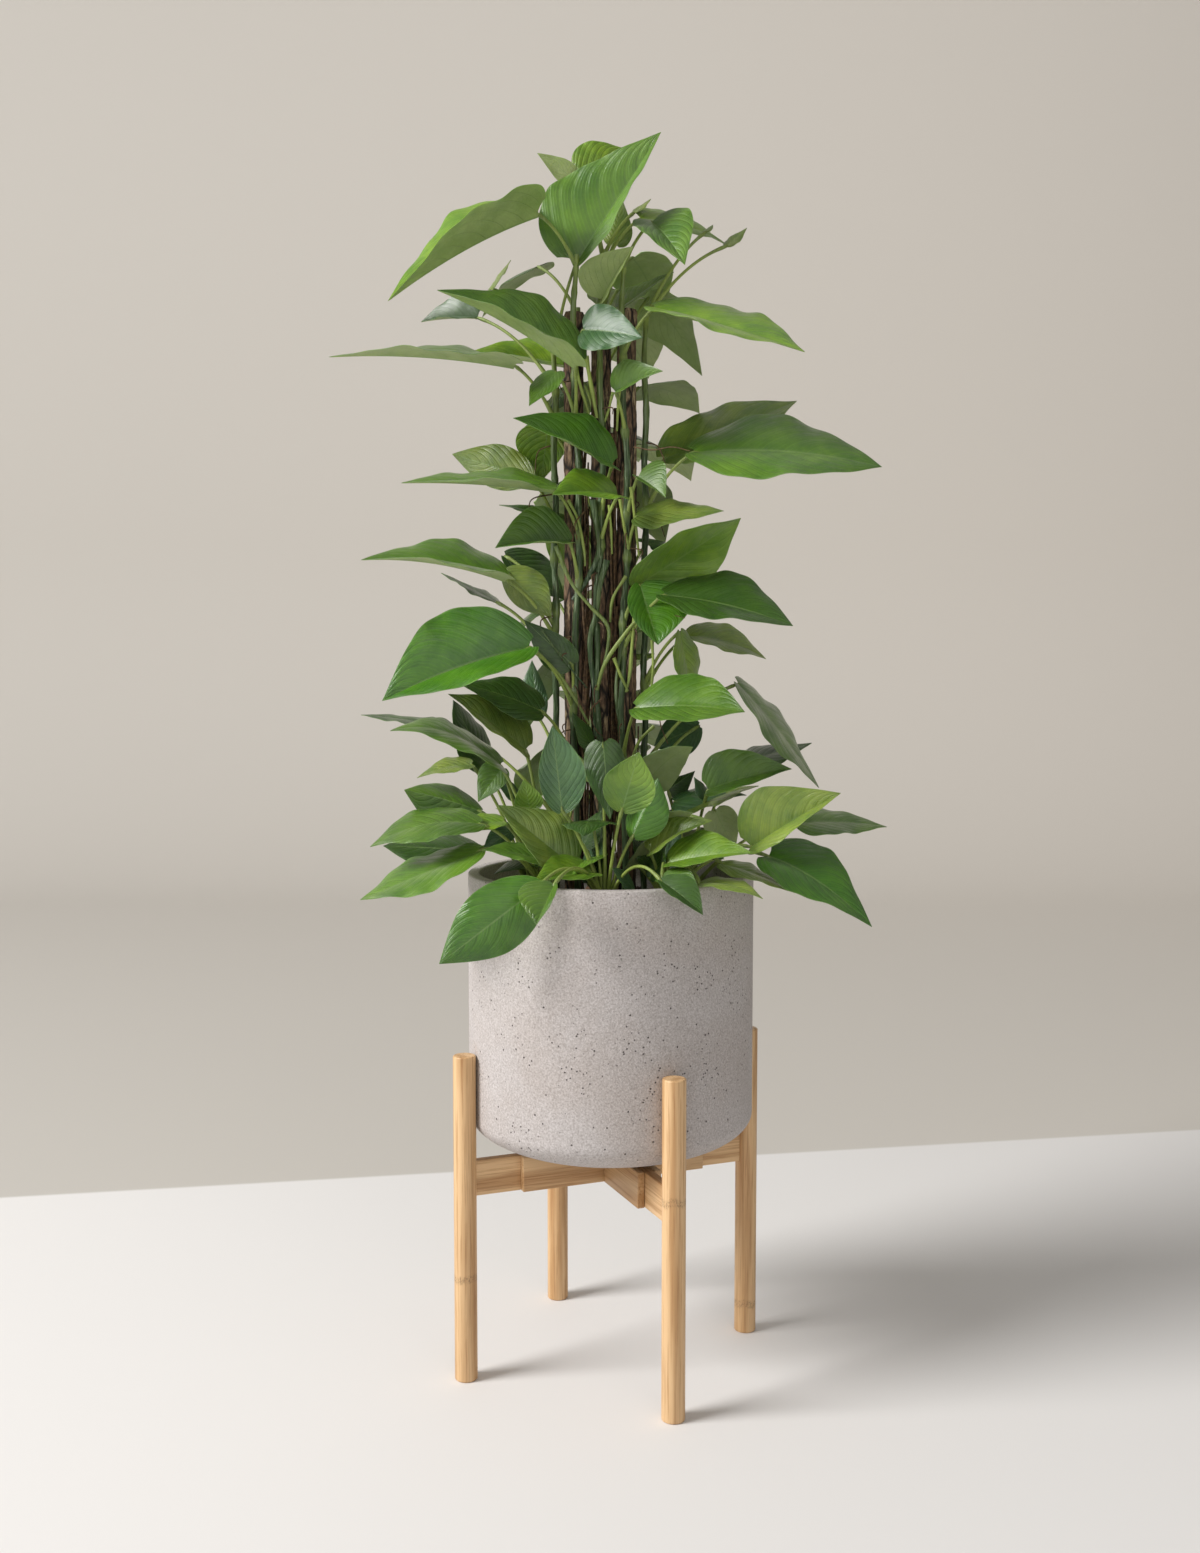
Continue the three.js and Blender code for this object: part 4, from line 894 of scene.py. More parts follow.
def stalk_finish(look):
    """Ridged green stems and stalks: tint 0 is old dark stem, 1 pale young stalk. The furrows between the
    ridges are painted darker as shade.
    """
    finish = Finish("stem and stalk skin")
    tint = finish.attribute("tint")
    streak = finish.noise(finish.stretch(finish.place, (1, 1, 0.05)), 520, 3, 0.6)
    speck = finish.noise(finish.place, 190, 3, 0.65)
    green = finish.mix(tint, look.stem_colour, look.stalk_colour)
    old = finish.math("SUBTRACT", 1.0, tint)
    # Painted shade: the furrows of the streaks are painted darker.
    furrow_shade = finish.ramp(streak, 0.38, 0.52, 0.85, 0.0)
    green = finish.mix(finish.times(furrow_shade, finish.math("MULTIPLY_ADD", old, 0.8, 0.2)), green,
                       finish.tinted(green, (0.40, 0.44, 0.40)))
    ridge = finish.times(finish.ramp(streak, 0.54, 0.64), finish.times(old, 0.8))
    green = finish.mix(ridge, green, look.ridge_colour)
    corky = finish.times(finish.ramp(speck, 0.58, 0.72), finish.times(old, 0.5))
    green = finish.mix(corky, green, (0.13, 0.10, 0.045))
    return finish.done(green, 0.4, finish.bump(streak, 0.0009, 0.8))


def root_finish():
    """Dry brown aerial roots."""
    finish = Finish("aerial root skin")
    patch = finish.noise(finish.place, 240, 3, 0.6)
    brown = finish.mix(finish.ramp(patch, 0.3, 0.7), (0.055, 0.032, 0.018), (0.19, 0.115, 0.055))
    return finish.done(brown, 0.8, finish.bump(patch, 0.0005, 0.7))


def bark_finish(look):
    """Fissured brown bark with tan worn patches, its fissures painted near black as shade."""
    finish = Finish("stake bark")
    tall = finish.stretch(finish.place, (1, 1, 0.22))
    plates = finish.cells(tall, 95, "DISTANCE_TO_EDGE")
    fibre = finish.noise(tall, 420, 4, 0.65)
    broad = finish.noise(finish.place, 26, 3, 0.6)
    crack = finish.ramp(plates, 0.0, 0.13, 1.0, 0.0)
    wood = finish.mix(finish.ramp(fibre, 0.32, 0.7), look.bark_dark, look.bark_light)
    worn = finish.times(finish.ramp(broad, 0.52, 0.62), finish.ramp(fibre, 0.4, 0.6))
    wood = finish.mix(worn, wood, look.bark_worn)
    # Painted shade: the fissures are painted near black as the shade in them.
    wood = finish.mix(crack, wood, (0.014, 0.010, 0.008))
    height = finish.math("SUBTRACT", fibre, finish.times(crack, 1.4))
    return finish.done(wood, 0.88, finish.bump(height, 0.0016, 0.8))


def grit_finish(name, dark, light):
    """Rough crumbs: soil, bark chips or white grit."""
    finish = Finish(name)
    patch = finish.noise(finish.place, 300, 3, 0.65)
    broad = finish.noise(finish.place, 70, 2)
    blend = finish.math("MULTIPLY_ADD", patch, 0.6, finish.times(broad, 0.4))
    return finish.done(finish.mix(finish.ramp(blend, 0.34, 0.66), dark, light), 0.92,
                       finish.bump(patch, 0.0009, 0.8))


def concrete_finish(look):
    """Warm grey cast concrete: cloudy, finely speckled, with clusters of small pits painted dark as the shade
    inside them.
    """
    finish = Finish("cast concrete")
    cloud = finish.noise(finish.place, 8, 4, 0.6, 0.4)
    mottle = finish.noise(finish.place, 75, 4, 0.7)
    speck = finish.noise(finish.place, 520, 2, 0.75)
    tone = finish.mix(finish.ramp(cloud, 0.34, 0.68), look.concrete_dark, look.concrete_light)
    tone = finish.mix(finish.ramp(speck, 0.50, 0.66, 0.0, 0.75), tone,
                      finish.tinted(tone, (0.70, 0.68, 0.66)))
    tone = finish.mix(finish.ramp(speck, 0.50, 0.34, 0.0, 0.75), tone,
                      finish.tinted(tone, (1.28, 1.29, 1.31)))
    cluster = finish.ramp(finish.noise(finish.place, 19, 3, 0.6), 0.50, 0.60)
    small = finish.ramp(finish.cells(finish.place, 190), 0.13, 0.20, 1.0, 0.0)
    close = finish.times(small, cluster)
    lone = finish.ramp(finish.cells(finish.place, 84), 0.06, 0.10, 1.0, 0.0)
    pit = finish.math("MAXIMUM", close, lone)
    # Painted shade: the pits are painted near black as the shade in them; their dent is a bump.
    tone = finish.mix(finish.times(pit, 0.9), tone, (0.06, 0.054, 0.048))
    height = finish.math("MULTIPLY_ADD", pit, -1.8, finish.times(speck, 0.5))
    return finish.done(tone, finish.ramp(mottle, 0.3, 0.7, 0.8, 0.92), finish.bump(height, 0.0012, 0.7))


def bamboo_finish(name, look, tone=1.0):
    """Honey bamboo: fine lengthwise fibres, strips of slightly different tone, and freckled node bands. A
    tone below 1 makes a copy painted darker as shade.
    """
    finish = Finish(name, coat_weight=0.12, coat_roughness=0.35)
    grain = finish.attribute("grain", "Vector")
    along, across, _deep = finish.split(grain)
    strip = finish.math("FLOOR", finish.times(across, 1 / 0.0085))
    chance = finish.node("ShaderNodeTexWhiteNoise", {"W": strip}, noise_dimensions="1D").outputs["Value"]
    fibre = finish.noise(finish.stretch(grain, (9, 420, 420)), 1.0, 4, 0.7)
    broad = finish.noise(finish.stretch(grain, (3, 70, 70)), 1.0, 3, 0.55)
    # A tone below 1 paints both bamboo colours darker as shade.
    light = [tone * c for c in look.bamboo_light]
    dark = [tone * c for c in look.bamboo_dark]
    wood = finish.mix(finish.ramp(broad, 0.34, 0.62), dark, light)
    wood = finish.mix(finish.times(chance, 0.3), wood, finish.tinted(wood, (0.80, 0.76, 0.70)))
    wood = finish.mix(finish.ramp(fibre, 0.48, 0.66, 0.0, 0.75), wood,
                      finish.tinted(wood, (0.62, 0.50, 0.38)))
    waver = finish.noise(finish.stretch(grain, (1, 60, 60)), 1.0, 2)
    place = finish.math("MULTIPLY_ADD", waver, 0.012, along)
    lap = finish.math("ABSOLUTE", finish.math("WRAP", place, look.internode / 2, -look.internode / 2))
    band = finish.ramp(lap, 0.002, 0.006, 1.0, 0.0)
    freckle = finish.ramp(finish.noise(finish.stretch(grain, (420, 900, 900)), 1.0, 2), 0.5, 0.62)
    freckled = finish.times(band, finish.math("MULTIPLY_ADD", freckle, 0.6, 0.12))
    wood = finish.mix(freckled, wood, [0.42 * c for c in dark])
    rough = finish.ramp(fibre, 0.3, 0.7, 0.42, 0.58)
    return finish.done(wood, rough, finish.bump(fibre, 0.0003, 0.4))


# Geometry trees


def group_tree(name, sizes):
    """An empty geometry tree with named inputs: (name, socket kind, default)."""
    tree = bpy.data.node_groups.new(name, "GeometryNodeTree")
    tree.interface.new_socket("Geometry", in_out="INPUT", socket_type="NodeSocketGeometry")
    for label, kind, default in sizes:
        socket = tree.interface.new_socket(label, in_out="INPUT", socket_type=kind)
        if default is not None:
            socket.default_value = default
    tree.interface.new_socket("Geometry", in_out="OUTPUT", socket_type="NodeSocketGeometry")
    return tree


def close_tree(nodes, geometry, material):
    """Ends a geometry tree: instances made real, smooth, and in their material."""
    real = nodes.node("GeometryNodeRealizeInstances", {0: geometry}).outputs[0]
    clad = nodes.node("GeometryNodeSetMaterial", {"Geometry": real, "Material": material}).outputs[0]
    nodes.node("NodeGroupOutput", {0: clad})


def stalk_tree():
    """Turns bare lines into round stalks whose radius each point gives."""
    tree = group_tree("round stalks", [("Sides", "NodeSocketInt", 8), ("Swell", "NodeSocketFloat", 1.0),
                                       ("Material", "NodeSocketMaterial", None)])
    nodes = Nodes(tree)
    given = nodes.node("NodeGroupInput").outputs
    size = nodes.node("GeometryNodeInputNamedAttribute", {"Name": "stalk_radius"}, data_type="FLOAT")
    radius = nodes.node("ShaderNodeMath", {0: size.outputs[0], 1: given["Swell"]}, operation="MULTIPLY")
    line = nodes.node("GeometryNodeMeshToCurve", {0: given["Geometry"]}).outputs[0]
    line = nodes.node("GeometryNodeSetCurveRadius", {"Curve": line, "Radius": radius.outputs[0]}).outputs[0]
    ring = nodes.node("GeometryNodeCurvePrimitiveCircle", {"Resolution": given["Sides"], "Radius": 1.0})
    tube = nodes.node("GeometryNodeCurveToMesh",
                      {"Curve": line, "Profile Curve": ring.outputs[0], "Fill Caps": True})
    if "Scale" in tube.inputs:
        nodes.feed(tube.inputs["Scale"], nodes.node("GeometryNodeInputRadius").outputs[0])
    smooth = nodes.node("GeometryNodeSetShadeSmooth", {"Geometry": tube.outputs[0]}).outputs[0]
    close_tree(nodes, smooth, given["Material"])
    return tree


def scatter_tree(chip):
    """Scatters crumbs over a surface; chip makes them flat and angular."""
    tree = group_tree("scattered chips" if chip else "scattered crumbs",
                      [("Density", "NodeSocketFloat", 4000.0), ("Smallest", "NodeSocketFloat", 0.002),
                       ("Largest", "NodeSocketFloat", 0.006), ("Seed", "NodeSocketInt", 1),
                       ("Material", "NodeSocketMaterial", None)])
    nodes = Nodes(tree)
    given = nodes.node("NodeGroupInput").outputs
    spread = nodes.node("GeometryNodeDistributePointsOnFaces",
                        {"Mesh": given["Geometry"], "Density": given["Density"], "Seed": given["Seed"]})
    if chip:
        grain = nodes.node("GeometryNodeMeshCube", {"Size": (1.0, 0.62, 0.3)}).outputs[0]
    else:
        grain = nodes.node("GeometryNodeMeshIcoSphere", {"Radius": 0.5, "Subdivisions": 1}).outputs[0]
    turn = nodes.node("FunctionNodeRandomValue",
                      {0: (0, 0, 0), 1: (6.28, 6.28, 6.28), "Seed": given["Seed"]},
                      data_type="FLOAT_VECTOR").outputs[0]
    size = nodes.node("FunctionNodeRandomValue",
                      {2: given["Smallest"], 3: given["Largest"], "Seed": given["Seed"]},
                      data_type="FLOAT").outputs[1]
    placed = nodes.node("GeometryNodeInstanceOnPoints",
                        {"Points": spread.outputs[0], "Instance": grain, "Rotation": turn, "Scale": size})
    close_tree(nodes, placed.outputs[0], given["Material"])
    return tree


def grow(obj, tree, **values):
    """Runs a geometry tree on an object with the given inputs and keeps the plain result."""
    modifier = obj.modifiers.new(tree.name, "NODES")
    modifier.node_group = tree
    for item in tree.interface.items_tree:
        if item.in_out == "INPUT" and item.name in values:
            modifier[item.identifier] = values[item.name]
    return plain_mesh(obj)


def set_grain(mesh, degrees, upright, shift):
    """Where each point lies in its bar: metres along, across and deep."""
    place = np.empty(len(mesh.vertices) * 3, np.float32)
    mesh.vertices.foreach_get("co", place)
    x, y, z = place.reshape(-1, 3).T
    turn = math.radians(degrees)
    out = x * math.cos(turn) + y * math.sin(turn)
    side = y * math.cos(turn) - x * math.sin(turn)
    axes = (z, out - LEG_CIRCLE * MM, side) if upright else (out, z, side)
    along = axes[0] - shift * MM
    attribute = mesh.attributes.new("grain", "FLOAT_VECTOR", "POINT")
    attribute.data.foreach_set("vector", np.stack([along, axes[1], axes[2]], -1).ravel())


def lathe_mesh(name, profile, sides, middle=(0, 0)):
    """A closed solid of revolution from [radius, height] points that start and end on the axis."""
    start, end = profile[0], profile[-1]
    rings = profile[1:-1]
    angles = np.linspace(0, 2 * np.pi, sides, endpoint=False)
    corners = [
        (middle[0] + radius * math.cos(angle), middle[1] + radius * math.sin(angle), height)
        for radius, height in rings
        for angle in angles
    ]
    corners += [(*middle, start[1]), (*middle, end[1])]
    first, last = len(corners) - 2, len(corners) - 1
    faces = []
    for ring in range(len(rings) - 1):
        low, high = ring * sides, (ring + 1) * sides
        faces += [
            (low + i, low + (i + 1) % sides, high + (i + 1) % sides, high + i) for i in range(sides)
        ]
    top = (len(rings) - 1) * sides
    faces += [(first, (i + 1) % sides, i) for i in range(sides)]
    faces += [(last, top + i, top + (i + 1) % sides) for i in range(sides)]
    return new_mesh(name, np.array(corners) * MM, faces)


def arc(radius, height, size, first, last, steps):
    """Points of a quarter round with its centre at radius, height."""
    angles = np.radians(np.linspace(first, last, steps + 1))
    return [(radius + size * math.cos(a), height + size * math.sin(a)) for a in angles]


def box_mesh(name, low, high):
    """A box between two corners, in millimetres."""
    spans = list(zip(low, high))
    corners = [(x, y, z) for x in spans[0] for y in spans[1] for z in spans[2]]
    faces = [(0, 1, 3, 2), (4, 6, 7, 5), (0, 4, 5, 1), (2, 3, 7, 6), (0, 2, 6, 4), (1, 5, 7, 3)]
    return new_mesh(name, np.array(corners) * MM, faces)


# The stand


def make_leg(name, degrees, bamboo):
    """A round leg with softly rounded ends and the slot that its arm sits in."""
    radius = LEG_DIAMETER / 2
    soft = LEG_END_ROUNDING
    profile = [(0, 0), *arc(radius - soft, soft, soft, -90, 0, 6)]
    profile += [*arc(radius - soft, LEG_HEIGHT - soft, soft, 0, 90, 6), (0, LEG_HEIGHT)]
    leg = link(f"round_leg_{name}", lathe_mesh("round leg", profile, 56, (LEG_CIRCLE, 0)), [bamboo])
    inner, half = LEG_CIRCLE - radius, ARM_THICKNESS / 2
    low = (inner - 1, -half - GAP, BAR_BOTTOM - GAP)
    high = (inner + MORTISE_DEPTH + GAP, half + GAP, BAR_BOTTOM + BAR_HEIGHT + GAP)
    slot = link("slot", box_mesh("slot", low, high))
    cut = leg.modifiers.new("slot", "BOOLEAN")
    cut.object = slot
    cut.solver = "EXACT"
    plain_mesh(leg)
    bpy.data.objects.remove(slot)
    leg.data.transform(Matrix.Rotation(math.radians(degrees), 4, "Z"))
    set_smooth(leg.data, 35)
    set_grain(leg.data, degrees, True, LEG_NODE_HEIGHTS[name])
    settle(leg, f"side_{name}", "bamboo", f"leg_{name}")


def make_bar(node, degrees, body, slot, bamboo, look):
    """A flat bar of the stand with its edges eased."""
    bar = link(f"{node}_bar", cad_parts[node].data.copy())
    mesh = bar.data
    mesh.materials.clear()
    mesh.materials.append(bamboo)
    work = bmesh.new()
    work.from_mesh(mesh)
    bmesh.ops.remove_doubles(work, verts=work.verts, dist=1e-5)
    bmesh.ops.dissolve_limit(work, angle_limit=math.radians(2), verts=work.verts, edges=work.edges)
    edges = [edge for edge in work.edges if edge.is_manifold and edge.calc_face_angle() > 0.5]
    bmesh.ops.bevel(work, geom=edges, offset=look.edge_radius, segments=3, profile=0.6, affect="EDGES",
                    clamp_overlap=True)
    bmesh.ops.triangulate(work, faces=[face for face in work.faces if len(face.verts) > 4])
    work.to_mesh(mesh)
    work.free()
    for name in [attribute.name for attribute in mesh.attributes if attribute.name in ("Color", "UVMap")]:
        mesh.attributes.remove(mesh.attributes[name])
    set_smooth(mesh, 40)
    set_grain(mesh, degrees, False, BAR_NODE_PLACE)
    settle(bar, body, slot, node)


# The planter and its soil


def pot_side(inset, steps):
    """The planter's underside from its flat middle out to its straight side, so far inside its skin."""
    across, up = POT_ROUNDING
    angles = np.radians(np.linspace(-90, 0, steps + 1))
    return [
        (POT_RADIUS - across + (across - inset) * math.cos(a), POT_BOTTOM + up + (up - inset) * math.sin(a))
        for a in angles
    ]


def make_planter(look):
    """A straight-sided round planter that curves in to a flat base, with a narrow eased rim."""
    soft = RIM_ROUNDING
    inner = POT_RADIUS - POT_WALL
    profile = [(0, POT_BOTTOM), (POT_BASE_RING, POT_BOTTOM), *pot_side(0, 20)]
    profile += [(POT_RADIUS, z) for z in np.linspace(POT_BOTTOM + 70, RIM_HEIGHT - 12, 8)]
    profile += arc(POT_RADIUS - soft, RIM_HEIGHT - soft, soft, 0, 90, 5)
    profile += arc(inner + soft, RIM_HEIGHT - soft, soft, 90, 180, 5)
    profile += [*pot_side(POT_WALL, 8)[::-1], (0, POT_BOTTOM + POT_WALL)]
    mesh = lathe_mesh("planter", profile, look.sides)
    set_smooth(mesh, 50)
    settle(link("planter_shell", mesh, [concrete_finish(look)]), PLANT_BODY, "concrete", "planter")


def soil_height(x, y):
    """The crumbly top of the soil, crowned towards the middle."""
    crown = 7 * (1 - math.hypot(x, y) / SOIL_RADIUS) - 2
    lumps = 3.2 * noise.noise(Vector((x / 26, y / 26, 1.7)))
    lumps += 1.6 * noise.noise(Vector((x / 9, y / 9, 4.1)))
    return SOIL_TOP + crown + lumps


def make_soil(look):
    """Dark soil that follows the pot's inside, with crumbs, bark chips and a few white grains on top."""
    sides, rings = 96, 34
    inset = POT_WALL + GAP
    profile = [(0, POT_BOTTOM + inset), *pot_side(inset, 8), (SOIL_RADIUS, SOIL_TOP - 12)]
    reach = [SOIL_RADIUS * (1 - i / rings) for i in range(rings)]
    mesh = lathe_mesh("soil", [*profile, *((r, SOIL_TOP) for r in reach), (0, SOIL_TOP)], sides)
    for vertex in mesh.vertices:
        if vertex.co.z > (SOIL_TOP - 1) * MM:
            vertex.co.z = soil_height(vertex.co.x / MM, vertex.co.y / MM) * MM
    mesh.shade_smooth()
    earth = grit_finish("potting soil", (0.012, 0.009, 0.007), (0.055, 0.038, 0.027))
    pieces = [link("soil body", mesh, [earth])]
    kinds = [
        ("crumbs", False, 1.0, (0.0022, 0.0065), (0.016, 0.011, 0.008), (0.075, 0.05, 0.034)),
        ("bark chips", True, 0.07, (0.006, 0.015), (0.05, 0.028, 0.016), (0.21, 0.12, 0.06)),
        ("white grit", False, 0.022, (0.0022, 0.0042), (0.42, 0.40, 0.36), (0.66, 0.63, 0.58)),
    ]
    for seed, (name, chip, share, (smallest, largest), dark, light) in enumerate(kinds, 3):
        ground = bmesh.new()
        ground.from_mesh(mesh)
        buried = [
            face for face in ground.faces
            if face.normal.z < 0.3
            or face.calc_center_median().z < (SOIL_TOP - 12) * MM
            or max(vertex.co.xy.length for vertex in face.verts) > (SOIL_RADIUS - 4) * MM
        ]
        bmesh.ops.delete(ground, geom=buried, context="FACES")
        patch = bpy.data.meshes.new(name)
        ground.to_mesh(patch)
        ground.free()
        scatter = link(name, patch)
        pieces.append(grow(
            scatter, scatter_tree(chip), Density=look.crumb_density * share, Smallest=smallest,
            Largest=largest, Seed=seed, Material=grit_finish(name, dark, light),
        ))
    settle(joined(pieces, "soil_body"), PLANT_BODY, "potting_soil", "soil")


# The stakes and the plant


def stake_radius(angle, height, x, index):
    """Bark: broad swellings, long fissured plates and small lumps."""
    broad = math.sin(3 * angle + height * 0.031 + x) + math.sin(5 * angle - height * 0.047 + x)
    c, s = math.cos(angle), math.sin(angle)
    plate = noise.noise(Vector((c * 2.6, s * 2.6, height / 34 + index * 9)))
    lump = noise.noise(Vector((c * 6, s * 6, height / 9 + index * 5)))
    fissure = max(0, 1 - abs(plate) / 0.12)
    return STAKE_RADIUS + 0.35 * broad + 0.8 * plate + 0.55 * lump - 1.3 * fissure


def make_stake(name, index, bark):
    """A bark-covered stake from in the soil to its sawn top."""
    x, top = STAKES[name]
    sides, steps = 56, 210
    heights = [STAKE_FOOT + (top - STAKE_FOOT) * i / steps for i in range(steps + 1)]
    profile = [(0, STAKE_FOOT), *((STAKE_RADIUS, z) for z in heights), (0, top)]
    mesh = lathe_mesh(f"stake {name}", profile, sides)
    for vertex in mesh.vertices:
        place = vertex.co / MM
        if place.xy.length > 1:
            size = stake_radius(math.atan2(place.y, place.x), place.z, x, index)
            size -= 1.6 * max(0, 1 - (top - place.z) / 3)
            vertex.co.xy = place.xy.normalized() * min(size, STAKE_LARGEST) * MM
        vertex.co.x += x * MM
    mesh.shade_smooth()
    settle(link(f"bark_stake_{name}", mesh, [bark]), PLANT_BODY, "bark", f"stake_{name}")


def stem_thread(stem, starts):
    """A climbing stem: knotted, swollen and paler where its leaf stalks leave, younger at the top."""
    points = []
    radii, tints = [], []
    for point in stem_line(stem):
        near = min((abs(point.z - start.z) for start in starts), default=99)
        knuckle = math.exp(-((near / 6) ** 2))
        past_knot = (point.z + 9 * stem[0]) % STEM_KNOT_SPACING - STEM_KNOT_SPACING / 2
        knot = math.exp(-((past_knot / 3.5) ** 2))
        young = max(0, 1 - (stem[2] - point.z) / 160)
        thin = 1 - 0.35 * max(0, 1 - (stem[2] - point.z) / 60)
        sway = Vector((math.sin(point.z / 17 + stem[0]), math.sin(point.z / 13 + stem[1]), 0))
        points.append(point + 1.1 * sway)
        radii.append((STEM_RADIUS - 0.7 + 1.2 * knuckle + 0.8 * knot) * thin)
        tints.append(min(1, 0.04 + 0.4 * knuckle + 0.5 * young))
    return points, radii, tints


def climber_thread(radius, age, depth, places):
    """A stalk or side stem that passes through places of the picture and tapers in behind the stems."""
    shares = np.linspace(0, 1, len(places))
    points = smooth_line([seen(u, v, depth + 8 * k**2) for k, (u, v) in zip(shares, places)], 8)
    last = len(points) - 1
    radii, tints = [], []
    for i in range(last + 1):
        k = i / last
        taper = 1 - 0.2 * math.sin(math.pi * k) - 0.35 * k**6
        radii.append(radius * taper * (1 + 0.12 * math.cos(11 * k)))
        tints.append(min(1, age + 0.1 * math.sin(5 * k)))
    return points, radii, tints


def crown_thread(node):
    """The short stem base that a shoot's stalks leave from."""
    foot = node.crown - Vector((0, 0, SHOOT_HEIGHT + 14))
    points = [foot.lerp(node.crown + Vector((0, 0, 5)), i / 8) for i in range(9)]
    radii = [SHOOT_RADIUS * k for k in (0.9, 0.95, 1, 1.02, 1.02, 1, 0.95, 0.8, 0.45)]
    return points, radii, [0.25 + 0.05 * i for i in range(9)]


def stalk_thread(leaf, node):
    """A leaf stalk, thick where it clasps the stem, with a bent knee under the blade."""
    points = stalk_line(stalk_start(leaf, node), leaf)
    inside = blade_points(leaf, np.array([0.05]), np.array([0.0]))[0]
    points.append(Vector(inside) - leaf.face * (BLADE_THICKNESS * 0.9))
    size = min(2.1, 1 + 0.03 * (leaf.base - points[0]).length) / 2.1
    last = len(points) - 1
    radii, tints = [], []
    for i in range(len(points)):
        k = i / last
        knee = math.exp(-(((k - 0.9) / 0.07) ** 2))
        radii.append(size * (2.75 - 1.1 * min(1, k / 0.35) + 0.5 * knee - 9 * max(0, k - 0.9)))
        tints.append(0.55 + 0.4 * math.sin(math.pi * min(1, k * 1.2)) * (0.7 + 0.3 * leaf.phase))
    radii[-1] = 0.7
    return points, radii, tints


def make_foliage(look):
    """Each climbing stem or shoot as one piece: its stem, stalks and blades."""
    nodes = plant_nodes()
    for leaf in placed_leaves() + inner_leaves():
        node_for(leaf, nodes).leaves.append(leaf)
    upper, under, skin = upper_leaf_finish(look), under_leaf_finish(look), stalk_finish(look)
    tree = stalk_tree()
    for index, node in enumerate(nodes):
        starts = [stalk_start(leaf, node) for leaf in node.leaves]
        lines = [stem_thread(node.stem, starts) if node.stem else crown_thread(node)]
        lines += [stalk_thread(leaf, node) for leaf in node.leaves]
        stalks = link(f"{node.name} stalks", threads_mesh(f"{node.name} stalks", lines))
        grow(stalks, tree, Sides=10, Swell=look.stalk_swell, Material=skin)
        pieces = [stalks]
        if node.leaves:
            chance = np.random.default_rng(BLADE_SEED + index)
            blades = blades_mesh(f"{node.name} blades", node.leaves, look.thickness / MM, chance)
            pieces = [link(f"{node.name} blades", blades, [upper, under]), stalks]
        piece = joined(pieces, f"{node.name}_foliage")
        settle(piece, PLANT_BODY, "foliage" if node.stem else "young_foliage", node.name)
    climbing = [climber_thread(*row) for row in CLIMBERS]
    climbers = link("climbing_stalks", threads_mesh("climbing stalks", climbing))
    grow(climbers, tree, Sides=10, Swell=look.stalk_swell, Material=skin)
    settle(climbers, PLANT_BODY, "foliage")


def make_roots():
    """Thin brown aerial roots: some hang and curl from the stems, and some cling between the stakes."""
    chance = np.random.default_rng(ROOT_SEED)
    lines = []
    for u, v, y, points in SEEN_ROOTS:
        lines.append(smooth_line([seen(u, v, y), *(seen(*place, depth) for *place, depth in points)], 6))
    for stem in STEMS.values():
        outward = Vector((stem[0] - POLE_X, stem[1] * 1.3, 0)).normalized()
        for _ in range(ROOTS_ON_A_STEM):
            z = SOIL_TOP + 60 + chance.random() * (stem[2] - SOIL_TOP - 140)
            start = stem_point(stem, z)
            turn = Matrix.Rotation((chance.random() - 0.5) * 2.2, 3, "Z") @ outward
            reach = 9 + 16 * chance.random()
            drop = 6 + 26 * chance.random()
            middle = start + turn * reach + Vector((0, 0, -drop * 0.25))
            end = start + turn * reach * (0.7 + 0.9 * chance.random()) + Vector((0, 0, -drop))
            lines.append(smooth_line([start, middle, end], 6))
    for x, foot, top in CLINGING_GAPS:
        for _ in range(CLINGING_IN_A_GAP):
            start, end = chance.uniform(foot, foot + 60), chance.uniform(top - 90, top)
            heights = np.linspace(end, start, int((end - start) / 28))
            side, front = chance.uniform(-3.5, 3.5), chance.uniform(-11, 11)
            lines.append(smooth_line([
                Vector((x + side + chance.uniform(-2.5, 2.5), front + chance.uniform(-3, 3), z))
                for z in heights
            ], 4))
    threads = []
    for line in lines:
        last = len(line) - 1
        size = CLINGING_ROOT_RADIUS if last > 30 else ROOT_RADIUS
        threads.append((line, [size * (1 - 0.5 * i / last) for i in range(last + 1)], [0.5] * (last + 1)))
    roots = link("aerial_roots", threads_mesh("aerial roots", threads))
    grow(roots, stalk_tree(), Sides=6, Swell=1.0, Material=root_finish())
    settle(roots, PLANT_BODY, "foliage")


# The stage


def backdrop_finish(look):
    """A pale floor that ends at a slanting line, and a warm grey beyond it with painted shade, darker towards
    the light's side and near the floor's end.
    """
    finish = Finish("backdrop")
    x, y, _z = finish.split(finish.place)
    line = finish.math("SUBTRACT", y, finish.math("MULTIPLY_ADD", x, FLOOR_LINE_SLOPE, look.floor_depth))
    beyond = finish.ramp(line, 0.0, 0.012)
    # Painted shade: the backdrop is painted darker towards the light's side and near the floor's end.
    far = finish.ramp(line, 0.0, 4.2)
    side = finish.ramp(x, -2.4, 2.4)
    wall = finish.mix(side, finish.tinted(look.wall_colour, look.painted_side_shade), look.wall_colour)
    wall = finish.mix(far, finish.tinted(wall, look.painted_foot_shade), wall)
    return finish.done(finish.mix(beyond, look.floor_colour, wall), 0.8)


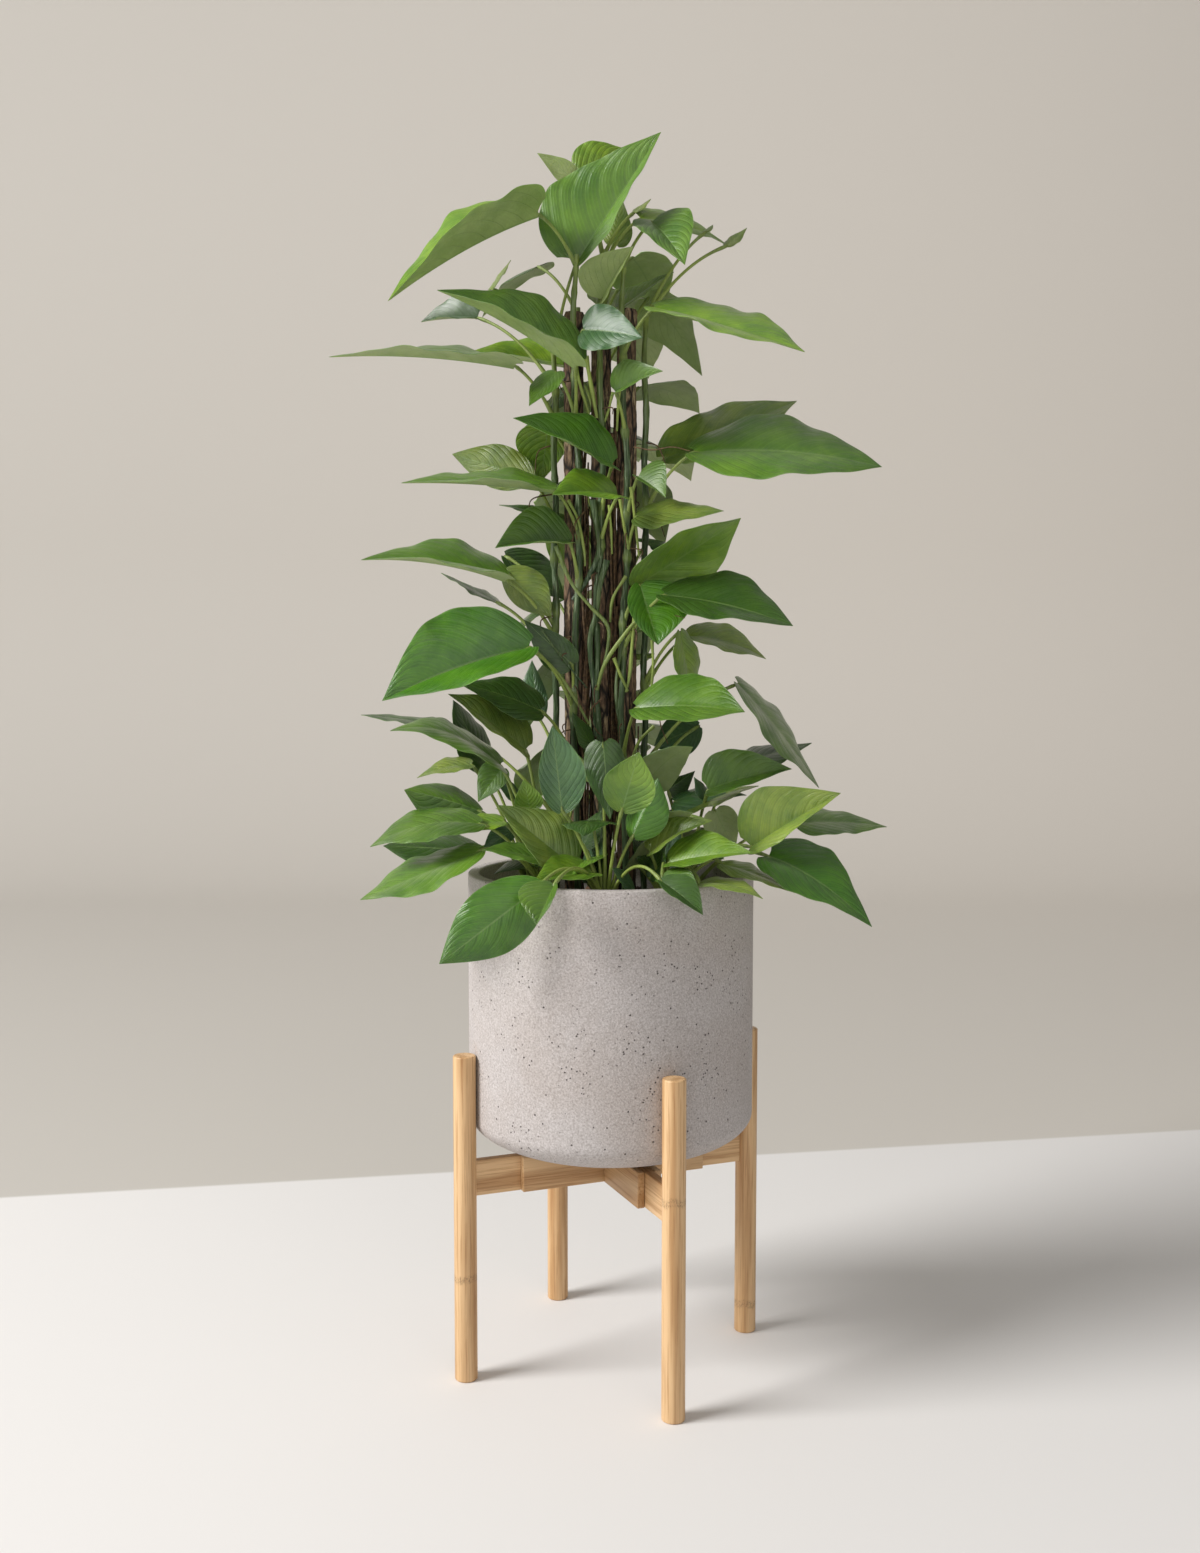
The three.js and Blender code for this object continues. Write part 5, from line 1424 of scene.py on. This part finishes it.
def make_backdrop(look):
    """One sheet: the floor, a wide curve and a wall well behind the plant."""
    reach, start, turn, size = 6, -4, 3.2, 1.2
    profile = [(start, 0), *((y, 0) for y in np.linspace(-3, turn, 12))]
    bend = np.radians(np.linspace(6, 90, 15))
    profile += [(turn + size * math.sin(a), size - size * math.cos(a)) for a in bend]
    profile += [(turn + size, 4.2)]
    corners = [(x, y, z) for y, z in profile for x in (-reach, reach)]
    faces = [(2 * i, 2 * i + 1, 2 * i + 3, 2 * i + 2) for i in range(len(profile) - 1)]
    mesh = new_mesh("backdrop", corners, faces)
    mesh.shade_smooth()
    link("backdrop", mesh, [backdrop_finish(look)])


def make_lights(scene):
    """A broad soft light from the upper left, a weak one from the front, and a dim even surrounding."""
    aim = Vector((0, 0, 0.65))
    for name, place, size, power, tint in LIGHTS:
        lamp = bpy.data.lights.new(name, "AREA")
        lamp.shape = "DISK"
        lamp.size, lamp.energy, lamp.color = size, power, tint
        holder = bpy.data.objects.new(name, lamp)
        holder.location = place
        holder.rotation_euler = (aim - Vector(place)).to_track_quat("-Z", "Y").to_euler()
        scene.collection.objects.link(holder)
    world = bpy.data.worlds.new("surroundings")
    world.use_nodes = True
    glow = world.node_tree.nodes["Background"]
    glow.inputs["Color"].default_value = (*WORLD_TINT, 1)
    glow.inputs["Strength"].default_value = WORLD_STRENGTH
    scene.world = world


def make_camera(scene):
    """The camera stands where the leaves' picture places are given from."""
    camera = bpy.data.cameras.new("camera")
    camera.lens = FOCAL / PICTURE_SIZE[1] * camera.sensor_width
    camera.clip_end = 30
    holder = bpy.data.objects.new("camera", camera)
    holder.location = EYE * MM
    holder.rotation_euler = (math.pi / 2 - EYE_PITCH, 0, 0)
    scene.collection.objects.link(holder)
    scene.camera = holder
    scene.view_settings.view_transform = "Standard"


# Sizes and colours that a user can change


class StageLook(bpy.types.PropertyGroup):
    """The floor and backdrop."""

    floor_colour: bpy.props.FloatVectorProperty(
        name="Floor colour", description="Colour of the pale floor",
        subtype="COLOR", default=(0.785, 0.778, 0.768),
    )
    wall_colour: bpy.props.FloatVectorProperty(
        name="Backdrop colour", description="Colour of the warm grey backdrop",
        subtype="COLOR", default=(0.755, 0.718, 0.660),
    )
    # Painted shade on the backdrop, towards the light's side
    painted_side_shade: bpy.props.FloatVectorProperty(
        name="Backdrop side", description="How the backdrop darkens towards the light's side",
        subtype="COLOR", default=(0.76, 0.765, 0.768),
    )
    # Painted shade on the backdrop, near the floor's end
    painted_foot_shade: bpy.props.FloatVectorProperty(
        name="Backdrop foot", description="How the backdrop darkens towards the floor's end",
        subtype="COLOR", default=(0.87, 0.875, 0.875),
    )
    floor_depth: bpy.props.FloatProperty(
        name="Floor depth", description="How far behind the stand the pale floor ends",
        unit="LENGTH", default=0.65,
    )


class StandLook(bpy.types.PropertyGroup):
    """The bamboo stand."""

    bamboo_light: bpy.props.FloatVectorProperty(
        name="Light bamboo", description="Lighter tone of the bamboo",
        subtype="COLOR", default=(0.73, 0.49, 0.26),
    )
    bamboo_dark: bpy.props.FloatVectorProperty(
        name="Dark bamboo", description="Darker tone of the bamboo",
        subtype="COLOR", default=(0.50, 0.285, 0.12),
    )
    internode: bpy.props.FloatProperty(
        name="Internode", description="Distance between the node bands of the bamboo",
        unit="LENGTH", default=0.62,
    )
    edge_radius: bpy.props.FloatProperty(
        name="Edge radius", description="Rounding of the stand's edges", unit="LENGTH", default=0.0012
    )


class PlanterLook(bpy.types.PropertyGroup):
    """The planter and what is in it."""

    concrete_light: bpy.props.FloatVectorProperty(
        name="Light concrete", description="Lighter tone of the concrete",
        subtype="COLOR", default=(0.47, 0.44, 0.43),
    )
    concrete_dark: bpy.props.FloatVectorProperty(
        name="Dark concrete", description="Darker tone of the concrete",
        subtype="COLOR", default=(0.43, 0.39, 0.37),
    )
    sides: bpy.props.IntProperty(name="Sides", description="Facets round the planter", default=144, min=24)
    crumb_density: bpy.props.FloatProperty(
        name="Crumb density", description="Soil crumbs on each square metre", default=52000.0
    )
    bark_dark: bpy.props.FloatVectorProperty(
        name="Dark bark", description="Darker tone of the stakes' bark",
        subtype="COLOR", default=(0.065, 0.042, 0.028),
    )
    bark_light: bpy.props.FloatVectorProperty(
        name="Light bark", description="Lighter tone of the stakes' bark",
        subtype="COLOR", default=(0.28, 0.175, 0.105),
    )
    bark_worn: bpy.props.FloatVectorProperty(
        name="Worn bark", description="Colour where the bark is worn",
        subtype="COLOR", default=(0.46, 0.35, 0.21),
    )


class LeafLook(bpy.types.PropertyGroup):
    """The leaves, stalks and stems."""

    thickness: bpy.props.FloatProperty(
        name="Blade thickness", description="Thickness of a leaf blade",
        unit="LENGTH", default=BLADE_THICKNESS * MM,
    )
    gloss: bpy.props.FloatProperty(
        name="Gloss", description="How glossy the upper faces are",
        subtype="FACTOR", default=0.6, min=0, max=1,
    )
    rib_colour: bpy.props.FloatVectorProperty(
        name="Midrib colour", description="Colour of the midrib and the thin edge",
        subtype="COLOR", default=(0.22, 0.34, 0.11),
    )
    under_colour: bpy.props.FloatVectorProperty(
        name="Under face tint", description="What the under faces fade towards",
        subtype="COLOR", default=(0.58, 0.66, 0.31),
    )
    stem_colour: bpy.props.FloatVectorProperty(
        name="Stem colour", description="Colour of the old climbing stems",
        subtype="COLOR", default=(0.042, 0.085, 0.030),
    )
    ridge_colour: bpy.props.FloatVectorProperty(
        name="Ridge colour", description="Colour of the worn ridges along the old stems",
        subtype="COLOR", default=(0.24, 0.31, 0.19),
    )
    stalk_colour: bpy.props.FloatVectorProperty(
        name="Stalk colour", description="Colour of the young leaf stalks",
        subtype="COLOR", default=(0.37, 0.47, 0.10),
    )
    stalk_swell: bpy.props.FloatProperty(
        name="Stalk thickness", description="Scale of every stem's and stalk's thickness",
        default=1.0, min=0.5, max=1.2,
    )


# The steps and their panel


class POTHOS_OT_stage(bpy.types.Operator):
    """Lays the pale floor and backdrop, and sets the lights and the camera"""

    bl_idname = "pothos.make_stage"
    bl_label = "Stage, lights and camera"

    def execute(self, context):
        look = context.scene.pothos_stage
        make_backdrop(look)
        make_lights(context.scene)
        make_camera(context.scene)
        return {"FINISHED"}


class POTHOS_OT_stand(bpy.types.Operator):
    """Makes the round legs, the sliding arms and the crossed plates"""

    bl_idname = "pothos.make_stand"
    bl_label = "Bamboo stand"

    def execute(self, context):
        look = context.scene.pothos_stand
        bamboo = bamboo_finish("bamboo", look)
        # Painted shade: the plates get a copy of the bamboo painted darker.
        painted_shade_bamboo = bamboo_finish("bamboo plates", look, 0.9)
        for name, degrees in LEG_ANGLES.items():
            make_leg(name, degrees, bamboo)
            make_bar(f"arm_{name}", degrees, f"side_{name}", "bamboo", bamboo, look)
        for side in ("wide_back", "wide_front"):
            make_bar(f"plate_{side}", LEG_ANGLES["back_right"], PLANT_BODY, "bamboo_edge", painted_shade_bamboo, look)
        for side in ("deep_left", "deep_right"):
            make_bar(f"plate_{side}", LEG_ANGLES["back_left"], PLANT_BODY, "bamboo_edge", painted_shade_bamboo, look)
        make_bar("crossing_block", LEG_ANGLES["back_right"], PLANT_BODY, "bamboo", bamboo, look)
        return {"FINISHED"}


class POTHOS_OT_planter(bpy.types.Operator):
    """Turns the concrete planter"""

    bl_idname = "pothos.make_planter"
    bl_label = "Planter"

    def execute(self, context):
        make_planter(context.scene.pothos_planter)
        return {"FINISHED"}


class POTHOS_OT_soil(bpy.types.Operator):
    """Fills the planter with crumbly potting soil"""

    bl_idname = "pothos.make_soil"
    bl_label = "Potting soil"

    def execute(self, context):
        make_soil(context.scene.pothos_planter)
        return {"FINISHED"}


class POTHOS_OT_stakes(bpy.types.Operator):
    """Makes the three bark-covered stakes"""

    bl_idname = "pothos.make_stakes"
    bl_label = "Bark stakes"

    def execute(self, context):
        bark = bark_finish(context.scene.pothos_planter)
        for index, name in enumerate(STAKES):
            make_stake(name, index, bark)
        return {"FINISHED"}


class POTHOS_OT_foliage(bpy.types.Operator):
    """Grows the stems, stalks and leaves"""

    bl_idname = "pothos.make_foliage"
    bl_label = "Stems and leaves"

    def execute(self, context):
        make_foliage(context.scene.pothos_leaf)
        return {"FINISHED"}


class POTHOS_OT_roots(bpy.types.Operator):
    """Hangs the thin aerial roots on the stems"""

    bl_idname = "pothos.make_roots"
    bl_label = "Aerial roots"

    def execute(self, context):
        make_roots()
        return {"FINISHED"}


STEPS = (
    POTHOS_OT_stage,
    POTHOS_OT_stand,
    POTHOS_OT_planter,
    POTHOS_OT_soil,
    POTHOS_OT_stakes,
    POTHOS_OT_foliage,
    POTHOS_OT_roots,
)


class POTHOS_PT_panel(bpy.types.Panel):
    """The pieces and their sizes and colours"""

    bl_idname = "POTHOS_PT_panel"
    bl_label = "Potted jade pothos"
    bl_space_type = "VIEW_3D"
    bl_region_type = "UI"
    bl_category = "Pothos"

    def draw(self, context):
        layout = self.layout
        for step in STEPS:
            layout.operator(step.bl_idname)
        for label in LOOKS:
            box = layout.box()
            look = getattr(context.scene, label)
            for name in look.bl_rna.properties.keys():
                if name not in ("rna_type", "name"):
                    box.prop(look, name)


LOOKS = {
    "pothos_stage": StageLook,
    "pothos_stand": StandLook,
    "pothos_planter": PlanterLook,
    "pothos_leaf": LeafLook,
}


def register():
    """Add the settings, the steps and the panel."""
    for kind in (*LOOKS.values(), *STEPS, POTHOS_PT_panel):
        bpy.utils.register_class(kind)
    for label, kind in LOOKS.items():
        setattr(bpy.types.Scene, label, bpy.props.PointerProperty(type=kind))


def unregister():
    """Take them out again, last first."""
    for label in LOOKS:
        delattr(bpy.types.Scene, label)
    for kind in reversed((*LOOKS.values(), *STEPS, POTHOS_PT_panel)):
        bpy.utils.unregister_class(kind)


def main():
    """Run every step in order."""
    register()
    for step in STEPS:
        getattr(bpy.ops.pothos, step.bl_idname.split(".")[1])()


if __name__ == "__main__":
    main()
